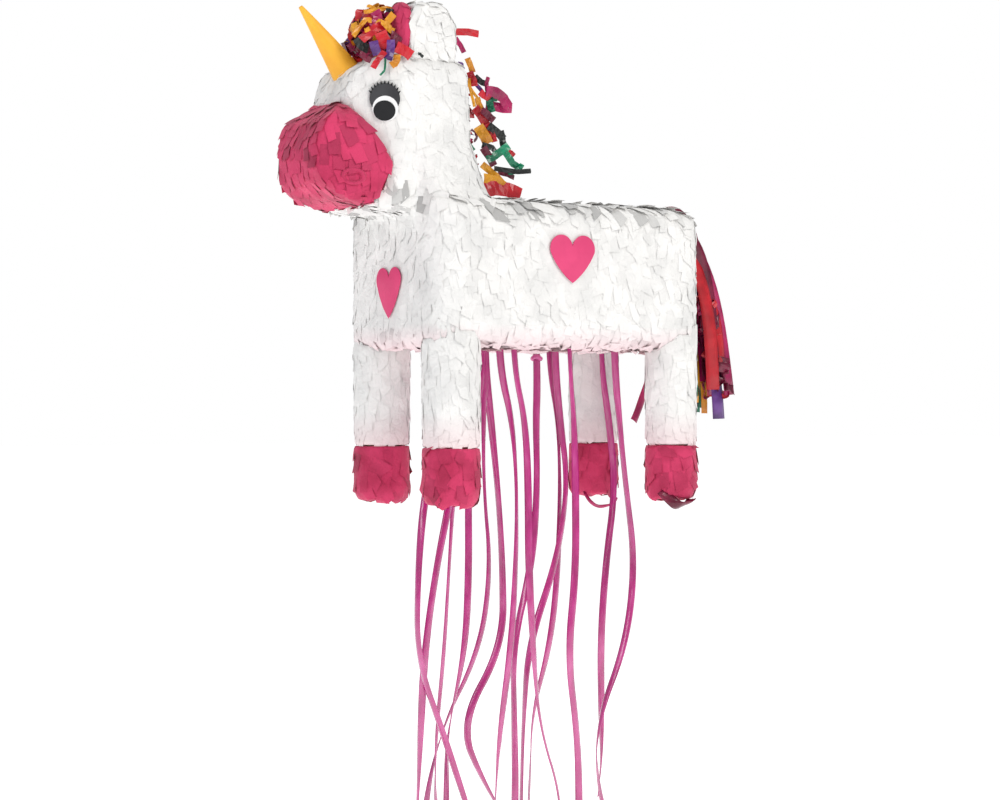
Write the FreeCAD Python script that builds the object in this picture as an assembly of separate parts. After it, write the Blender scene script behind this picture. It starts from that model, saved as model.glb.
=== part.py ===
import FreeCAD, Part
import math
import os

from FreeCAD import Vector

os.makedirs("parts", exist_ok=True)

# A hanging unicorn pinata with a pull-string trap door. Millimetres. It faces -X, its left side
# faces -Y, +Z is up. The origin is on the axis of the hanging eyelet, level with the top of the back.

# ---- materials and fits ----
CREPE = 6.0                 # thickness of the layered tissue cover
BOARD = 3.0                 # thickness of the cardboard
SEAM = 0.4                  # gap between two neighbouring board panels
FLAP_GAP = 0.8              # gap all round a flap in its opening
PAPER = 0.8                 # thickness of a sticker
PAST = 5.0                  # how far a cutting form reaches past what it cuts

# ---- trunk ----
CHEST_X = -176.0
RUMP_X = 172.0
TRUNK_HALF_WIDTH = 104.0
TRUNK_DEPTH = 155.0
CHEST_TOP_ROUND = 12.0
RUMP_TOP_ROUND = 45.0
BELLY_END_ROUND = 14.0
RIM_ROUND = 28.0            # rounding of the long edges, seen from the front
PLAN_ROUND = 34.0           # rounding of the four corners, seen from above
PANEL_LIP = 22.0            # how far each panel turns round the edge of the trunk

# ---- neck ----
NECK_ROOT_Z = -26.0
NECK_TOP_Z = 70.0
NECK_ROOT_FRONT = -176.0
NECK_ROOT_REAR = -88.0
NECK_ROOT_HALF = 92.0
NECK_TOP_FRONT = -190.0
NECK_TOP_REAR = -106.0
NECK_TOP_HALF = 64.0
NECK_ROUND = 28.0

# ---- head and muzzle, side outline as (x, z) ----
CROWN_Z = 152.0
HEAD_HALF_WIDTH = 62.0
HEAD_ROUND = 26.0
NOSE_HALF_WIDTH = 46.0
NOSE_TAPER_X = -240.0       # the head narrows in front of this
NOSE_X = -291.0
NOSE_ROUND = 24.0
NAPE_ROUND = 20.0
FOREHEAD_HALF_WIDTH = 34.0  # half width of the forehead at its front end
FOREHEAD_TAPER_X = -196.0   # the head is at its full width behind this
FOREHEAD_ROUND = 22.0
MUZZLE_TOP_ROUND = 46.0     # rounding of the muzzle's upper edges, seen from the front
BROW = (-238.0, 132.0)
BRIDGE = (-253.0, 98.0)     # where the muzzle meets the forehead
CHEEK = (-206.0, 34.0)      # rearmost point of the muzzle
CHIN = (-226.0, -10.0)
JAW_REAR = (-170.0, -16.0)
MUZZLE_FRONT = [(-280.0, 76.0), (NOSE_X, 46.0), (-285.0, 14.0), (-262.0, -2.0)]

# ---- legs and hooves ----
FRONT_LEG_RADIUS = 30.0
REAR_LEG_RADIUS = 28.0
LEG_SHOULDER_EXTRA = 1.5    # how much wider a leg is at its top
LEG_TOP_Z = -126.0
HOOF_TOP_Z = -262.0
HOOF_BOTTOM_Z = -322.0
HOOF_EXTRA = 0.5            # how much wider a hoof is than the leg above it

# ---- horn and ears ----
HORN_BASE = Vector(-222.0, 0.0, 126.0)
HORN_TIP = Vector(-284.0, 0.0, 195.0)
HORN_BASE_RADIUS = 15.5
HORN_TIP_RADIUS = 2.5
EAR_FRONT = -184.0
EAR_REAR = -128.0
EAR_TOP = 207.0
EAR_INNER_Y = 18.0
EAR_OUTER_Y = 56.0
EAR_ROUND = 14.0
EAR_RECESS_DEPTH = 8.0
EAR_RECESS_MARGIN = 5.0
EAR_LINING_THICKNESS = 2.0
EAR_SUNK = 8.0              # how far the ear's root is below the crown before the head is cut out

# ---- stickers ----
EYE_CENTRE = (-218.0, 97.0)
EYE_HALF_WIDTH = 15.0
EYE_HALF_HEIGHT = 20.0
FLANK_HEART_CENTRE = (-13.0, -62.0)
FLANK_HEART_SIZE = (58.0, 51.0)
CHEST_HEART_Z = -98.0
CHEST_HEART_SIZE = (48.0, 54.0)

# ---- hair ----
MANE_HALF_WIDTH = 22.0
MANE_OUTLINE = [(-112.0, 2.0), (-18.0, 0.0), (-16.0, 14.0), (-10.0, 46.0), (-20.0, 116.0), (-60.0, 160.0),
                (-96.0, 172.0), (-124.0, 150.0)]
FORELOCK_BOX = ((-226.0, -30.0, 140.0), (-185.0, 30.0, 206.0))
FORELOCK_ROUND = 12.0
TAIL_HALF_WIDTH = 20.0
TAIL_OUTLINE = [(150.0, -6.0), (182.0, -96.0), (184.0, -236.0), (272.0, -238.0), (272.0, -150.0),
                (258.0, -96.0), (222.0, -30.0), (184.0, 8.0)]

# ---- hanging eyelet ----
EYELET_BORE_RADIUS = 4.0
EYELET_WALL = 2.0
EYELET_FLANGE_RADIUS = 11.0
EYELET_FLANGE_THICKNESS = 1.5
EYELET_FIT = 0.3
HANGER_PLATE_HALF = 32.0

# ---- filler flap in the back ----
FILLER_FRONT_X = 46.0
FILLER_HINGE_X = 116.0
FILLER_HALF_WIDTH = 32.0

# ---- trap door in the belly ----
DOOR_FRONT_X = 5.0
DOOR_HINGE_X = 75.0
DOOR_HALF_WIDTH = 26.0

# ---- ribbons ----
RIBBON_WIDTH = 8.0
RIBBON_HOLE_FIT = 0.5
RIBBON_TAPE_THICKNESS = 1.0
RIBBON_TAPE_HALF = 9.0
ARC_SHARE = 0.45            # how much of the shorter run each arc uses
ROUTED_HALF_WIDTH = 104.0   # half width of the trunk that the routes below were chosen for
ROUTED_DEPTH = 155.0        # depth of the trunk that the routes below were chosen for
PULL_RIBBON = "pull_ribbon"
# Points of each ribbon, chosen one by one, as (x, y, z) from the belly down to the cut end.
ROUTES = {
    "decoy_ribbon_01": [(-104, -31, -146.5), (-103, -31, -180), (-130, -31, -237), (-154, -34, -311), (-165, -39, -395),
        (-168, -42, -484), (-132, -38, -568), (-103, -31, -637), (-89, -28, -669)],
    "decoy_ribbon_02": [(-86, -21, -146.5), (-85, -21, -180), (-98, -21, -236), (-114, -24, -310), (-137, -29, -394),
        (-153, -32, -482), (-155, -28, -566), (-155, -21, -644), (-154, -17, -681)],
    "decoy_ribbon_03": [(-76, -11, -146.5), (-75, -11, -180), (-90, -11, -234), (-105, -14, -308), (-114, -19, -392),
        (-122, -22, -481), (-130, -18, -574), (-128, -11, -642), (-117, -7, -679)],
    "decoy_ribbon_04": [(-53, 11, -146.5), (-52, 11, -180), (-62, 11, -232), (-73, 8, -306), (-75, 3, -399),
        (-82, 0, -488), (-103, 4, -572), (-99, 11, -641), (-97, 15, -676)],
    "decoy_ribbon_05": [(-43, 21, -146.5), (-42, 21, -180), (-45, 21, -231), (-46, 18, -314), (-40, 13, -398),
        (-56, 10, -486), (-104, 14, -570), (-118, 21, -640), (-119, 25, -673)],
    "decoy_ribbon_06": [(-36, 31, -146.5), (-35, 31, -180), (-28, 31, -238), (-21, 28, -312), (-18, 23, -396),
        (-19, 20, -485), (-74, 24, -569), (-38, 31, -638), (-14, 34, -671)],
    "decoy_ribbon_07": [(-66, -44, -146.5), (-65, -44, -180), (-49, -44, -236), (-45, -47, -310), (-50, -52, -394),
        (-59, -55, -484), (-70, -51, -568), (-71, -44, -636), (-73, -40, -683)],
    "decoy_ribbon_08": [(-54, -54, -146.5), (-53, -54, -180), (-39, -54, -235), (-37, -57, -309), (-40, -62, -393),
        (-36, -65, -482), (-25, -61, -566), (8, -54, -644), (10, -50, -680)],
    "decoy_ribbon_09": [(67, 44, -146.5), (68, 44, -180), (74, 44, -234), (83, 41, -308), (65, 36, -392),
        (23, 33, -489), (19, 37, -573), (21, 44, -642), (23, 48, -678)],
    "decoy_ribbon_10": [(12, -64, -146.5), (13, -64, -180), (18, -64, -232), (18, -67, -306), (15, -72, -398),
        (2, -75, -488), (17, -71, -572), (25, -64, -640), (27, -60, -675)],
    "decoy_ribbon_11": [(66, 54, -146.5), (67, 54, -180), (78, 54, -239), (79, 51, -313), (73, 46, -397),
        (61, 43, -486), (37, 47, -570), (39, 54, -639), (40, 58, -672)],
    "decoy_ribbon_12": [(125, 34, -146.5), (126, 34, -180), (136, 34, -238), (143, 31, -312), (126, 26, -396),
        (116, 23, -484), (120, 27, -568), (125, 34, -638), (123, 37, -670)],
    "decoy_ribbon_13": [(94, -34, -146.5), (95, -34, -180), (101, -34, -236), (108, -37, -310), (117, -42, -394),
        (103, -45, -483), (66, -41, -567), (69, -34, -636), (86, -30, -682)],
    "pull_ribbon": [(12, 0, -160.5), (13, 0, -195), (11, 0, -240), (11, -3, -308), (1, -8, -392),
        (-27, -11, -482), (-22, -7, -574), (-16, 0, -643), (-15, 4, -680)],
}


# ---------------------------------------------------------------- outlines

def inset_outline(points, distances):
    """Move each edge of an anticlockwise outline inwards by its own distance."""
    lines = []
    for index, (ax, ay) in enumerate(points):
        bx, by = points[(index + 1) % len(points)]
        length = math.hypot(bx - ax, by - ay)
        nx, ny = -(by - ay) / length, (bx - ax) / length
        lines.append((nx, ny, nx * ax + ny * ay + distances[index]))
    moved = []
    for index in range(len(points)):
        a1, b1, c1 = lines[index - 1]
        a2, b2, c2 = lines[index]
        cross = a1 * b2 - a2 * b1
        moved.append(((c1 * b2 - c2 * b1) / cross, (a1 * c2 - a2 * c1) / cross))
    return moved


def outline_edges(points, radii, place):
    """Edges of an outline whose corner number i is rounded by radii[i]."""
    count = len(points)
    starts, ends, middles = [], [], []
    for index in range(count):
        corner = Vector(*points[index], 0)
        before = Vector(*points[index - 1], 0).sub(corner)
        after = Vector(*points[(index + 1) % count], 0).sub(corner)
        before.normalize()
        after.normalize()
        half_angle = before.getAngle(after) / 2
        radius = radii[index]
        if radius <= 0:
            starts.append(corner)
            ends.append(corner)
            middles.append(None)
            continue
        reach = radius / math.tan(half_angle)
        bisector = before.add(after)
        bisector.normalize()
        depth = radius / math.sin(half_angle) - radius
        starts.append(corner.add(before.multiply(reach)))
        ends.append(corner.add(after.multiply(reach)))
        middles.append(corner.add(bisector.multiply(depth)))
    edges = []
    for index in range(count):
        if middles[index] is not None:
            three = [place(p.x, p.y) for p in (starts[index], middles[index], ends[index])]
            edges.append(Part.Arc(*three).toShape())
        here, there = ends[index], starts[(index + 1) % count]
        if here.distanceToPoint(there) > 1e-6:
            edges.append(Part.makeLine(place(here.x, here.y), place(there.x, there.y)))
    return edges


def prism(points, radii, place, direction):
    """Solid made by pushing a rounded outline along a direction."""
    wire = Part.Wire(outline_edges(points, radii, place))
    return Part.Face(wire).extrude(direction)


def side_prism(points, radii, half_width):
    return prism(points, radii, lambda x, z: Vector(x, -half_width, z), Vector(0, 2 * half_width, 0))


def front_prism(points, radii, x_low, x_high):
    return prism(points, radii, lambda y, z: Vector(x_low, y, z), Vector(x_high - x_low, 0, 0))


def plan_prism(points, radii, z_low, z_high):
    return prism(points, radii, lambda x, y: Vector(x, y, z_low), Vector(0, 0, z_high - z_low))


def rectangle(low, high):
    return [(low[0], low[1]), (high[0], low[1]), (high[0], high[1]), (low[0], high[1])]


def less(radii, amount):
    """Corner radii of an outline that has been moved inwards."""
    return [max(radius - amount, 1.0) if radius > 0 else 0.0 for radius in radii]


def box(low, high):
    size = [high[i] - low[i] for i in range(3)]
    return Part.makeBox(size[0], size[1], size[2], Vector(*low))


def centred_box(x_low, x_high, half_width, z_low, z_high):
    return box((x_low, -half_width, z_low), (x_high, half_width, z_high))


def save(name, shape):
    """Write one sub-part, and report its solids and volume."""
    shape.exportStep("parts/" + name + ".step")
    print(name, "solids", len(shape.Solids), "valid", shape.isValid(), "volume", round(shape.Volume, 1))


# ---------------------------------------------------------------- trunk

def trunk_form(inset):
    """The trunk's outer form, moved inwards by inset."""
    side = rectangle((CHEST_X + inset, -TRUNK_DEPTH + inset), (RUMP_X - inset, -inset))
    side_radii = less([BELLY_END_ROUND, BELLY_END_ROUND, RUMP_TOP_ROUND, CHEST_TOP_ROUND], inset)
    half = TRUNK_HALF_WIDTH - inset
    front = rectangle((-half, -TRUNK_DEPTH + inset), (half, -inset))
    plan = rectangle((CHEST_X + inset, -half), (RUMP_X - inset, half))
    form = front_prism(front, less([RIM_ROUND] * 4, inset), CHEST_X - PAST, RUMP_X + PAST)
    form = form.common(plan_prism(plan, less([PLAN_ROUND] * 4, inset), -TRUNK_DEPTH - PAST, PAST))
    return form.common(side_prism(side, side_radii, TRUNK_HALF_WIDTH + PAST))


def flap_box(front_x, hinge_x, half_width, z_low, z_high, gap):
    return centred_box(front_x - gap, hinge_x + gap, half_width + gap, z_low, z_high)


def make_trunk(holes):
    """Six board panels and the tissue cover, with the openings for flaps, eyelet and ribbons."""
    cover = trunk_form(0).cut(trunk_form(CREPE))
    shell = trunk_form(CREPE).cut(trunk_form(CREPE + BOARD))
    lip = CREPE + PANEL_LIP
    rim_y = TRUNK_HALF_WIDTH - lip
    top_z = -lip
    low_z = -TRUNK_DEPTH + lip
    wide = TRUNK_HALF_WIDTH + PAST
    x_ends = (CHEST_X - PAST, RUMP_X + PAST)
    half_seam = SEAM / 2
    inner_y = rim_y - half_seam
    panels = {
        "body_side_left": box((x_ends[0], -wide, -TRUNK_DEPTH), (x_ends[1], -rim_y - half_seam, 0)),
        "body_side_right": box((x_ends[0], rim_y + half_seam, -TRUNK_DEPTH), (x_ends[1], wide, 0)),
        "back_panel": centred_box(*x_ends, inner_y, top_z + half_seam, 0),
        "belly_panel": centred_box(*x_ends, inner_y, -TRUNK_DEPTH, low_z - half_seam),
        "chest_panel": centred_box(x_ends[0], 0, inner_y, low_z + half_seam, top_z - half_seam),
        "rump_panel": centred_box(0, x_ends[1], inner_y, low_z + half_seam, top_z - half_seam),
    }
    opening = holes[0]
    for hole in holes[1:]:
        opening = opening.fuse(hole)
    for name, region in panels.items():
        save(name, shell.common(region).cut(opening))
    save("body_crepe", cover.cut(opening))


# ---------------------------------------------------------------- neck, head, muzzle

def neck_section(z, front, rear, half, inset):
    outline = rectangle((front + inset, -half + inset), (rear - inset, half - inset))
    return Part.Wire(outline_edges(outline, less([NECK_ROUND] * 4, inset), lambda x, y: Vector(x, y, z)))


def neck_form(inset):
    root = neck_section(NECK_ROOT_Z, NECK_ROOT_FRONT, NECK_ROOT_REAR, NECK_ROOT_HALF, inset)
    top = neck_section(NECK_TOP_Z, NECK_TOP_FRONT, NECK_TOP_REAR, NECK_TOP_HALF, inset)
    return Part.makeLoft([root, top], True, True)


def make_neck():
    trunk = trunk_form(0)
    above_back = centred_box(CHEST_X * 2, 0, TRUNK_HALF_WIDTH, 0, NECK_TOP_Z + 1)
    core = neck_form(CREPE).common(above_back)
    hollow = neck_form(CREPE + BOARD)
    save("neck_tube", core.cut(hollow))
    save("neck_crepe", neck_form(0).cut(trunk).cut(core))


def head_plan(inset):
    """Outline of head and muzzle seen from above, with its corner radii."""
    half, nose = HEAD_HALF_WIDTH, NOSE_HALF_WIDTH
    points = [(NOSE_X, -nose), (NOSE_TAPER_X, -half), (NECK_TOP_REAR, -half),
              (NECK_TOP_REAR, half), (NOSE_TAPER_X, half), (NOSE_X, nose)]
    radii = [NOSE_ROUND, 60.0, NAPE_ROUND, NAPE_ROUND, 60.0, NOSE_ROUND]
    return inset_outline(points, [inset] * len(points)), less(radii, inset)


def forehead_plan(inset):
    """Outline of the head alone seen from above, narrower towards the brow, with its corner radii."""
    half, front = HEAD_HALF_WIDTH, FOREHEAD_HALF_WIDTH
    points = [(BRIDGE[0], -front), (FOREHEAD_TAPER_X, -half), (NECK_TOP_REAR, -half),
              (NECK_TOP_REAR, half), (FOREHEAD_TAPER_X, half), (BRIDGE[0], front)]
    radii = [FOREHEAD_ROUND, 60.0, NAPE_ROUND, NAPE_ROUND, 60.0, FOREHEAD_ROUND]
    return inset_outline(points, [inset] * len(points)), less(radii, inset)


def rounded_by_plan_and_front(form, inset, plan, z_low, z_high, top_round):
    """Round a side-view form in the other two views."""
    half = HEAD_HALF_WIDTH
    form = form.common(plan_prism(*plan, z_low - PAST, z_high + PAST))
    front = rectangle((-half + inset, z_low + inset), (half - inset, z_high - inset))
    radii = [HEAD_ROUND, HEAD_ROUND, top_round, top_round]
    return form.common(front_prism(front, less(radii, inset), NOSE_X - PAST, 0))


def head_form(inset, open_inset):
    """The head. open_inset moves the hidden faces that meet the neck and the muzzle."""
    points = [(NECK_TOP_REAR, NECK_TOP_Z), (NECK_TOP_REAR - 12, CROWN_Z), (BROW[0] + 33, CROWN_Z - 2),
              BROW, BRIDGE, CHEEK, CHIN, JAW_REAR, (NECK_TOP_FRONT + 10, NECK_TOP_Z)]
    radii = [0, 24, 40, 18, 0, 0, 0, 0, 0]
    insets = [inset, inset, inset, inset, open_inset, open_inset, inset, open_inset, open_inset]
    form = side_prism(inset_outline(points, insets), less(radii, inset), HEAD_HALF_WIDTH + PAST)
    form = rounded_by_plan_and_front(form, inset, forehead_plan(inset), JAW_REAR[1], CROWN_Z, HEAD_ROUND)
    return form.cut(neck_form(0)).cut(trunk_form(0))


def muzzle_form(inset, open_inset):
    points = [CHEEK, BRIDGE] + MUZZLE_FRONT + [CHIN]
    radii = [0, 0, 14, 22, 22, 20, 0]
    insets = [open_inset] + [inset] * (len(MUZZLE_FRONT) + 1) + [open_inset]
    form = side_prism(inset_outline(points, insets), less(radii, inset), HEAD_HALF_WIDTH + PAST)
    return rounded_by_plan_and_front(form, inset, head_plan(inset), CHIN[1], BRIDGE[1], MUZZLE_TOP_ROUND)


def make_head():
    head_core = head_form(CREPE, 0)
    save("head_box", head_core.cut(head_form(CREPE + BOARD, BOARD)))
    save("head_crepe", head_form(0, 0).cut(head_core))
    muzzle_core = muzzle_form(CREPE, 0)
    save("muzzle_box", muzzle_core.cut(muzzle_form(CREPE + BOARD, BOARD)))
    save("muzzle_crepe", muzzle_form(0, 0).cut(muzzle_core))


# ---------------------------------------------------------------- legs

def leg_column(x, y, radius, inset, z_low, z_high):
    """Tapered column of a leg between two heights, wider at the top."""
    height = z_high - z_low
    lean = LEG_SHOULDER_EXTRA / (LEG_TOP_Z - HOOF_TOP_Z)
    low = radius - inset + lean * (z_low - HOOF_TOP_Z)
    high = radius - inset + lean * (z_high - HOOF_TOP_Z)
    return Part.makeCone(low, high, height, Vector(x, y, z_low))


def make_leg(name, x, y, radius):
    trunk = trunk_form(0)
    tube_bottom = HOOF_BOTTOM_Z + CREPE
    column = leg_column(x, y, radius, CREPE, tube_bottom, -TRUNK_DEPTH)
    bore = leg_column(x, y, radius, CREPE + BOARD, tube_bottom + BOARD, -TRUNK_DEPTH)
    save(name + "_leg_tube", column.cut(bore))
    skin = leg_column(x, y, radius, 0, HOOF_TOP_Z, LEG_TOP_Z)
    save(name + "_leg_crepe", skin.cut(trunk).cut(column))
    hoof = Part.makeCylinder(radius + HOOF_EXTRA, HOOF_TOP_Z - HOOF_BOTTOM_Z, Vector(x, y, HOOF_BOTTOM_Z))
    save(name + "_hoof", hoof.cut(column))


def leg_places():
    """Name, x, y and radius of each leg, flush with the chest or rump and with the flank."""
    places = []
    for end, radius in (("front", FRONT_LEG_RADIUS), ("rear", REAR_LEG_RADIUS)):
        reach = radius + LEG_SHOULDER_EXTRA
        x = CHEST_X + reach if end == "front" else RUMP_X - reach
        y = TRUNK_HALF_WIDTH - reach
        places.append((end + "_left", x, -y, radius))
        places.append((end + "_right", x, y, radius))
    return places


# ---------------------------------------------------------------- horn, ears, stickers

def horn_form(extra):
    along = HORN_TIP.sub(HORN_BASE)
    return Part.makeCone(HORN_BASE_RADIUS + extra, HORN_TIP_RADIUS + extra, along.Length, HORN_BASE, along)


def ear_form(side, inset):
    """Ear on one side, -1 left or 1 right, moved inwards by inset."""
    root_z = CROWN_Z - EAR_SUNK
    points = [(EAR_FRONT, root_z), (EAR_REAR, root_z), (EAR_REAR + 1, EAR_TOP - 26),
              (EAR_REAR - 14, EAR_TOP), (EAR_FRONT + 8, EAR_TOP - 2), (EAR_FRONT + 1, EAR_TOP - 18)]
    radii = [0, 0, 14, 14, 12, 10]
    outline = inset_outline(points, [0] + [inset] * 5)
    form = side_prism(outline, less(radii, inset), EAR_OUTER_Y)
    low_y, high_y = sorted((side * EAR_INNER_Y, side * EAR_OUTER_Y))
    front = rectangle((low_y + inset, root_z), (high_y - inset, EAR_TOP - inset))
    front_radii = less([0, 0, EAR_ROUND, EAR_ROUND], inset)
    return form.common(front_prism(front, front_radii, EAR_FRONT, EAR_REAR + 2))


def make_ears():
    """Ears with a recess in the front face, and the pink lining at the bottom of it."""
    head = head_form(0, 0)
    for name, side in (("left", -1), ("right", 1)):
        recess_floor = EAR_FRONT + EAR_RECESS_DEPTH
        pocket = ear_form(side, EAR_RECESS_MARGIN)
        pocket = pocket.fuse(pocket.translated(Vector(-EAR_RECESS_DEPTH - EAR_RECESS_MARGIN, 0, 0)))
        above_head = box((EAR_FRONT - 20, -EAR_OUTER_Y, CROWN_Z + 1), (recess_floor, EAR_OUTER_Y, EAR_TOP))
        pocket = pocket.common(above_head)
        save(name + "_ear", ear_form(side, 0).cut(head).cut(pocket))
        floor = box((recess_floor - EAR_LINING_THICKNESS, -EAR_OUTER_Y, CROWN_Z),
                    (recess_floor, EAR_OUTER_Y, EAR_TOP))
        save(name + "_ear_lining", pocket.common(floor))


def ellipse_plate(centre, half_x, half_z, y_low):
    """Flat ellipse facing along Y, one paper thick."""
    major, minor = max(half_x, half_z), min(half_x, half_z)
    long_axis = Vector(0, 0, 1) if half_z > half_x else Vector(1, 0, 0)
    middle = Vector(centre[0], y_low, centre[1])
    curve = Part.Ellipse(middle + long_axis * major,
                         middle + (Vector(1, 0, 0) if half_z > half_x else Vector(0, 0, 1)) * minor, middle)
    return Part.Face(Part.Wire(curve.toShape())).extrude(Vector(0, PAPER, 0))


def heart_plate(width, height, place, direction):
    """Flat heart, one paper thick. place turns (across, up) into a point."""
    tip = place(0, -height / 2)
    notch = place(0, height * 0.28)
    edges = []
    for side in (-1, 1):
        shoulder = place(side * width * 0.49, height * 0.14)
        lobe = place(side * width * 0.27, height / 2)
        cheek = place(side * width * 0.34, -height * 0.14)
        edges.append(Part.Arc(notch, lobe, shoulder).toShape())
        edges.append(Part.Arc(shoulder, cheek, tip).toShape())
    wire = Part.Wire(Part.sortEdges(edges)[0])
    return Part.Face(wire).extrude(direction)


def make_stickers():
    spread = HEAD_HALF_WIDTH - FOREHEAD_HALF_WIDTH
    taper = math.degrees(math.atan2(spread, FOREHEAD_TAPER_X - BRIDGE[0]))
    for name, side in (("left", -1), ("right", 1)):
        y_low = -HEAD_HALF_WIDTH - PAPER if side < 0 else HEAD_HALF_WIDTH
        eye = ellipse_plate(EYE_CENTRE, EYE_HALF_WIDTH, EYE_HALF_HEIGHT, y_low)
        eye.rotate(Vector(FOREHEAD_TAPER_X, side * HEAD_HALF_WIDTH, 0), Vector(0, 0, 1), side * taper)
        save(name + "_eye", eye)
        flank = side * TRUNK_HALF_WIDTH
        centre_x, centre_z = FLANK_HEART_CENTRE
        heart = heart_plate(*FLANK_HEART_SIZE, lambda a, b: Vector(centre_x + a, flank, centre_z + b),
                            Vector(0, side * PAPER, 0))
        save(name + "_heart", heart)
    chest = heart_plate(*CHEST_HEART_SIZE, lambda a, b: Vector(CHEST_X, a, CHEST_HEART_Z + b),
                        Vector(-PAPER, 0, 0))
    save("chest_heart", chest)


# ---------------------------------------------------------------- hair

def make_hair():
    head, neck, trunk = head_form(0, 0), neck_form(0), trunk_form(0)
    mane = side_prism(MANE_OUTLINE, [0, 0, 4, 20, 20, 20, 14, 0], MANE_HALF_WIDTH)
    ears = ear_form(-1, 0).fuse(ear_form(1, 0))
    save("mane", mane.cut(head).cut(neck).cut(trunk).cut(ears))
    low, high = FORELOCK_BOX
    lock = side_prism(rectangle((low[0], low[2]), (high[0], high[2])), [FORELOCK_ROUND] * 4, high[1])
    lock = lock.common(plan_prism(rectangle(low[:2], high[:2]), [FORELOCK_ROUND] * 4, low[2], high[2]))
    save("forelock", lock.cut(head).cut(horn_form(SEAM)))
    tail = side_prism(TAIL_OUTLINE, [0, 0, 8, 8, 30, 30, 30, 10], TAIL_HALF_WIDTH)
    save("tail", tail.cut(trunk))


# ---------------------------------------------------------------- eyelet and flaps

def eyelet_hole():
    radius = EYELET_BORE_RADIUS + EYELET_WALL + EYELET_FIT
    return Part.makeCylinder(radius, TRUNK_DEPTH / 4 + PAST, Vector(0, 0, -TRUNK_DEPTH / 4))


def make_eyelet():
    bottom = -(CREPE + 2 * BOARD)
    barrel = Part.makeCylinder(EYELET_BORE_RADIUS + EYELET_WALL, -bottom, Vector(0, 0, bottom))
    flange = Part.makeCylinder(EYELET_FLANGE_RADIUS, EYELET_FLANGE_THICKNESS)
    bore = Part.makeCylinder(EYELET_BORE_RADIUS, EYELET_FLANGE_THICKNESS - bottom, Vector(0, 0, bottom))
    save("hanging_eyelet", barrel.fuse(flange).removeSplitter().cut(bore))
    plate = centred_box(-HANGER_PLATE_HALF, HANGER_PLATE_HALF, HANGER_PLATE_HALF, bottom, bottom + BOARD)
    save("hanger_plate", plate.cut(eyelet_hole()))


def make_flaps():
    """Each flap is a board with tissue on its outer face. It turns on its uncut edge."""
    span = (FILLER_FRONT_X, FILLER_HINGE_X, FILLER_HALF_WIDTH)
    save("filler_flap", flap_box(*span, -CREPE - BOARD, -CREPE, 0))
    save("filler_flap_crepe", flap_box(*span, -CREPE, 0, 0))
    span = (DOOR_FRONT_X, DOOR_HINGE_X, DOOR_HALF_WIDTH)
    low = -TRUNK_DEPTH
    save("trap_door", flap_box(*span, low + CREPE, low + CREPE + BOARD, 0))
    save("trap_door_crepe", flap_box(*span, low, low + CREPE, 0))


def flap_openings():
    deep = CREPE + BOARD + PAST
    filler = flap_box(FILLER_FRONT_X, FILLER_HINGE_X, FILLER_HALF_WIDTH, -deep, PAST, FLAP_GAP)
    door = flap_box(DOOR_FRONT_X, DOOR_HINGE_X, DOOR_HALF_WIDTH,
                    -TRUNK_DEPTH - PAST, -TRUNK_DEPTH + deep, FLAP_GAP)
    return [filler, door]


# ---------------------------------------------------------------- ribbons

def route_arcs(points):
    """Tangent points, middle and radius of the arc at each inner point of a route."""
    arcs = []
    for before, corner, after in zip(points, points[1:], points[2:]):
        back = before.sub(corner)
        ahead = after.sub(corner)
        shorter = min(back.Length, ahead.Length)
        back.normalize()
        ahead.normalize()
        half_turn = (math.pi - back.getAngle(ahead)) / 2
        radius = ARC_SHARE * shorter / math.tan(half_turn)
        bisector = back.add(ahead)
        bisector.normalize()
        depth = radius / math.cos(half_turn) - radius
        reach = ARC_SHARE * shorter
        arcs.append((corner.add(back.multiply(reach)), corner.add(bisector.multiply(depth)),
                     corner.add(ahead.multiply(reach)), radius))
    return arcs


def ribbon_solid(name, points):
    """Plain tube of the ribbon's width along straight runs joined by tangent arcs."""
    arcs = route_arcs(points)
    edges = []
    here = points[0]
    for start, middle, end, radius in arcs:
        edges.append(Part.LineSegment(here, start).toShape())
        edges.append(Part.Arc(start, middle, end).toShape())
        here = end
    edges.append(Part.LineSegment(here, points[-1]).toShape())
    path = Part.Wire(edges)
    first = points[1].sub(points[0])
    ring = Part.Wire(Part.makeCircle(RIBBON_WIDTH / 2, points[0], first))
    tube = path.makePipeShell([ring], True, False)
    expected = math.pi * RIBBON_WIDTH ** 2 / 4 * path.Length
    print(name, "length", round(path.Length, 1), "least radius", round(min(a[3] for a in arcs), 1),
          "volume ratio", round(tube.Volume / expected, 4))
    return tube


def ribbon_routes():
    """Each ribbon's points, spread over the trunk's width and hung from its belly."""
    spread = TRUNK_HALF_WIDTH / ROUTED_HALF_WIDTH
    drop = TRUNK_DEPTH - ROUTED_DEPTH
    return {name: [(x, y * spread, z - drop) for x, y, z in route] for name, route in ROUTES.items()}


def decoy_routes():
    return {name: route for name, route in ribbon_routes().items() if name != PULL_RIBBON}


def decoy_holes():
    """Holes in belly tissue and board that the decoy ribbons come out of."""
    radius = RIBBON_WIDTH / 2 + RIBBON_HOLE_FIT
    height = 2 * (CREPE + BOARD)
    return [Part.makeCylinder(radius, height, Vector(route[0][0], route[0][1], -TRUNK_DEPTH - BOARD))
            for route in decoy_routes().values()]


def make_ribbon_tape():
    """Tape inside the belly that covers the upper ends of the decoy ribbons."""
    floor_z = -TRUNK_DEPTH + CREPE + BOARD
    tape = None
    for route in decoy_routes().values():
        x, y = route[0][0], route[0][1]
        patch = box((x - RIBBON_TAPE_HALF, y - RIBBON_TAPE_HALF, floor_z),
                    (x + RIBBON_TAPE_HALF, y + RIBBON_TAPE_HALF, floor_z + RIBBON_TAPE_THICKNESS))
        tape = patch if tape is None else tape.fuse(patch)
    save("ribbon_tape", tape.removeSplitter())


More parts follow.
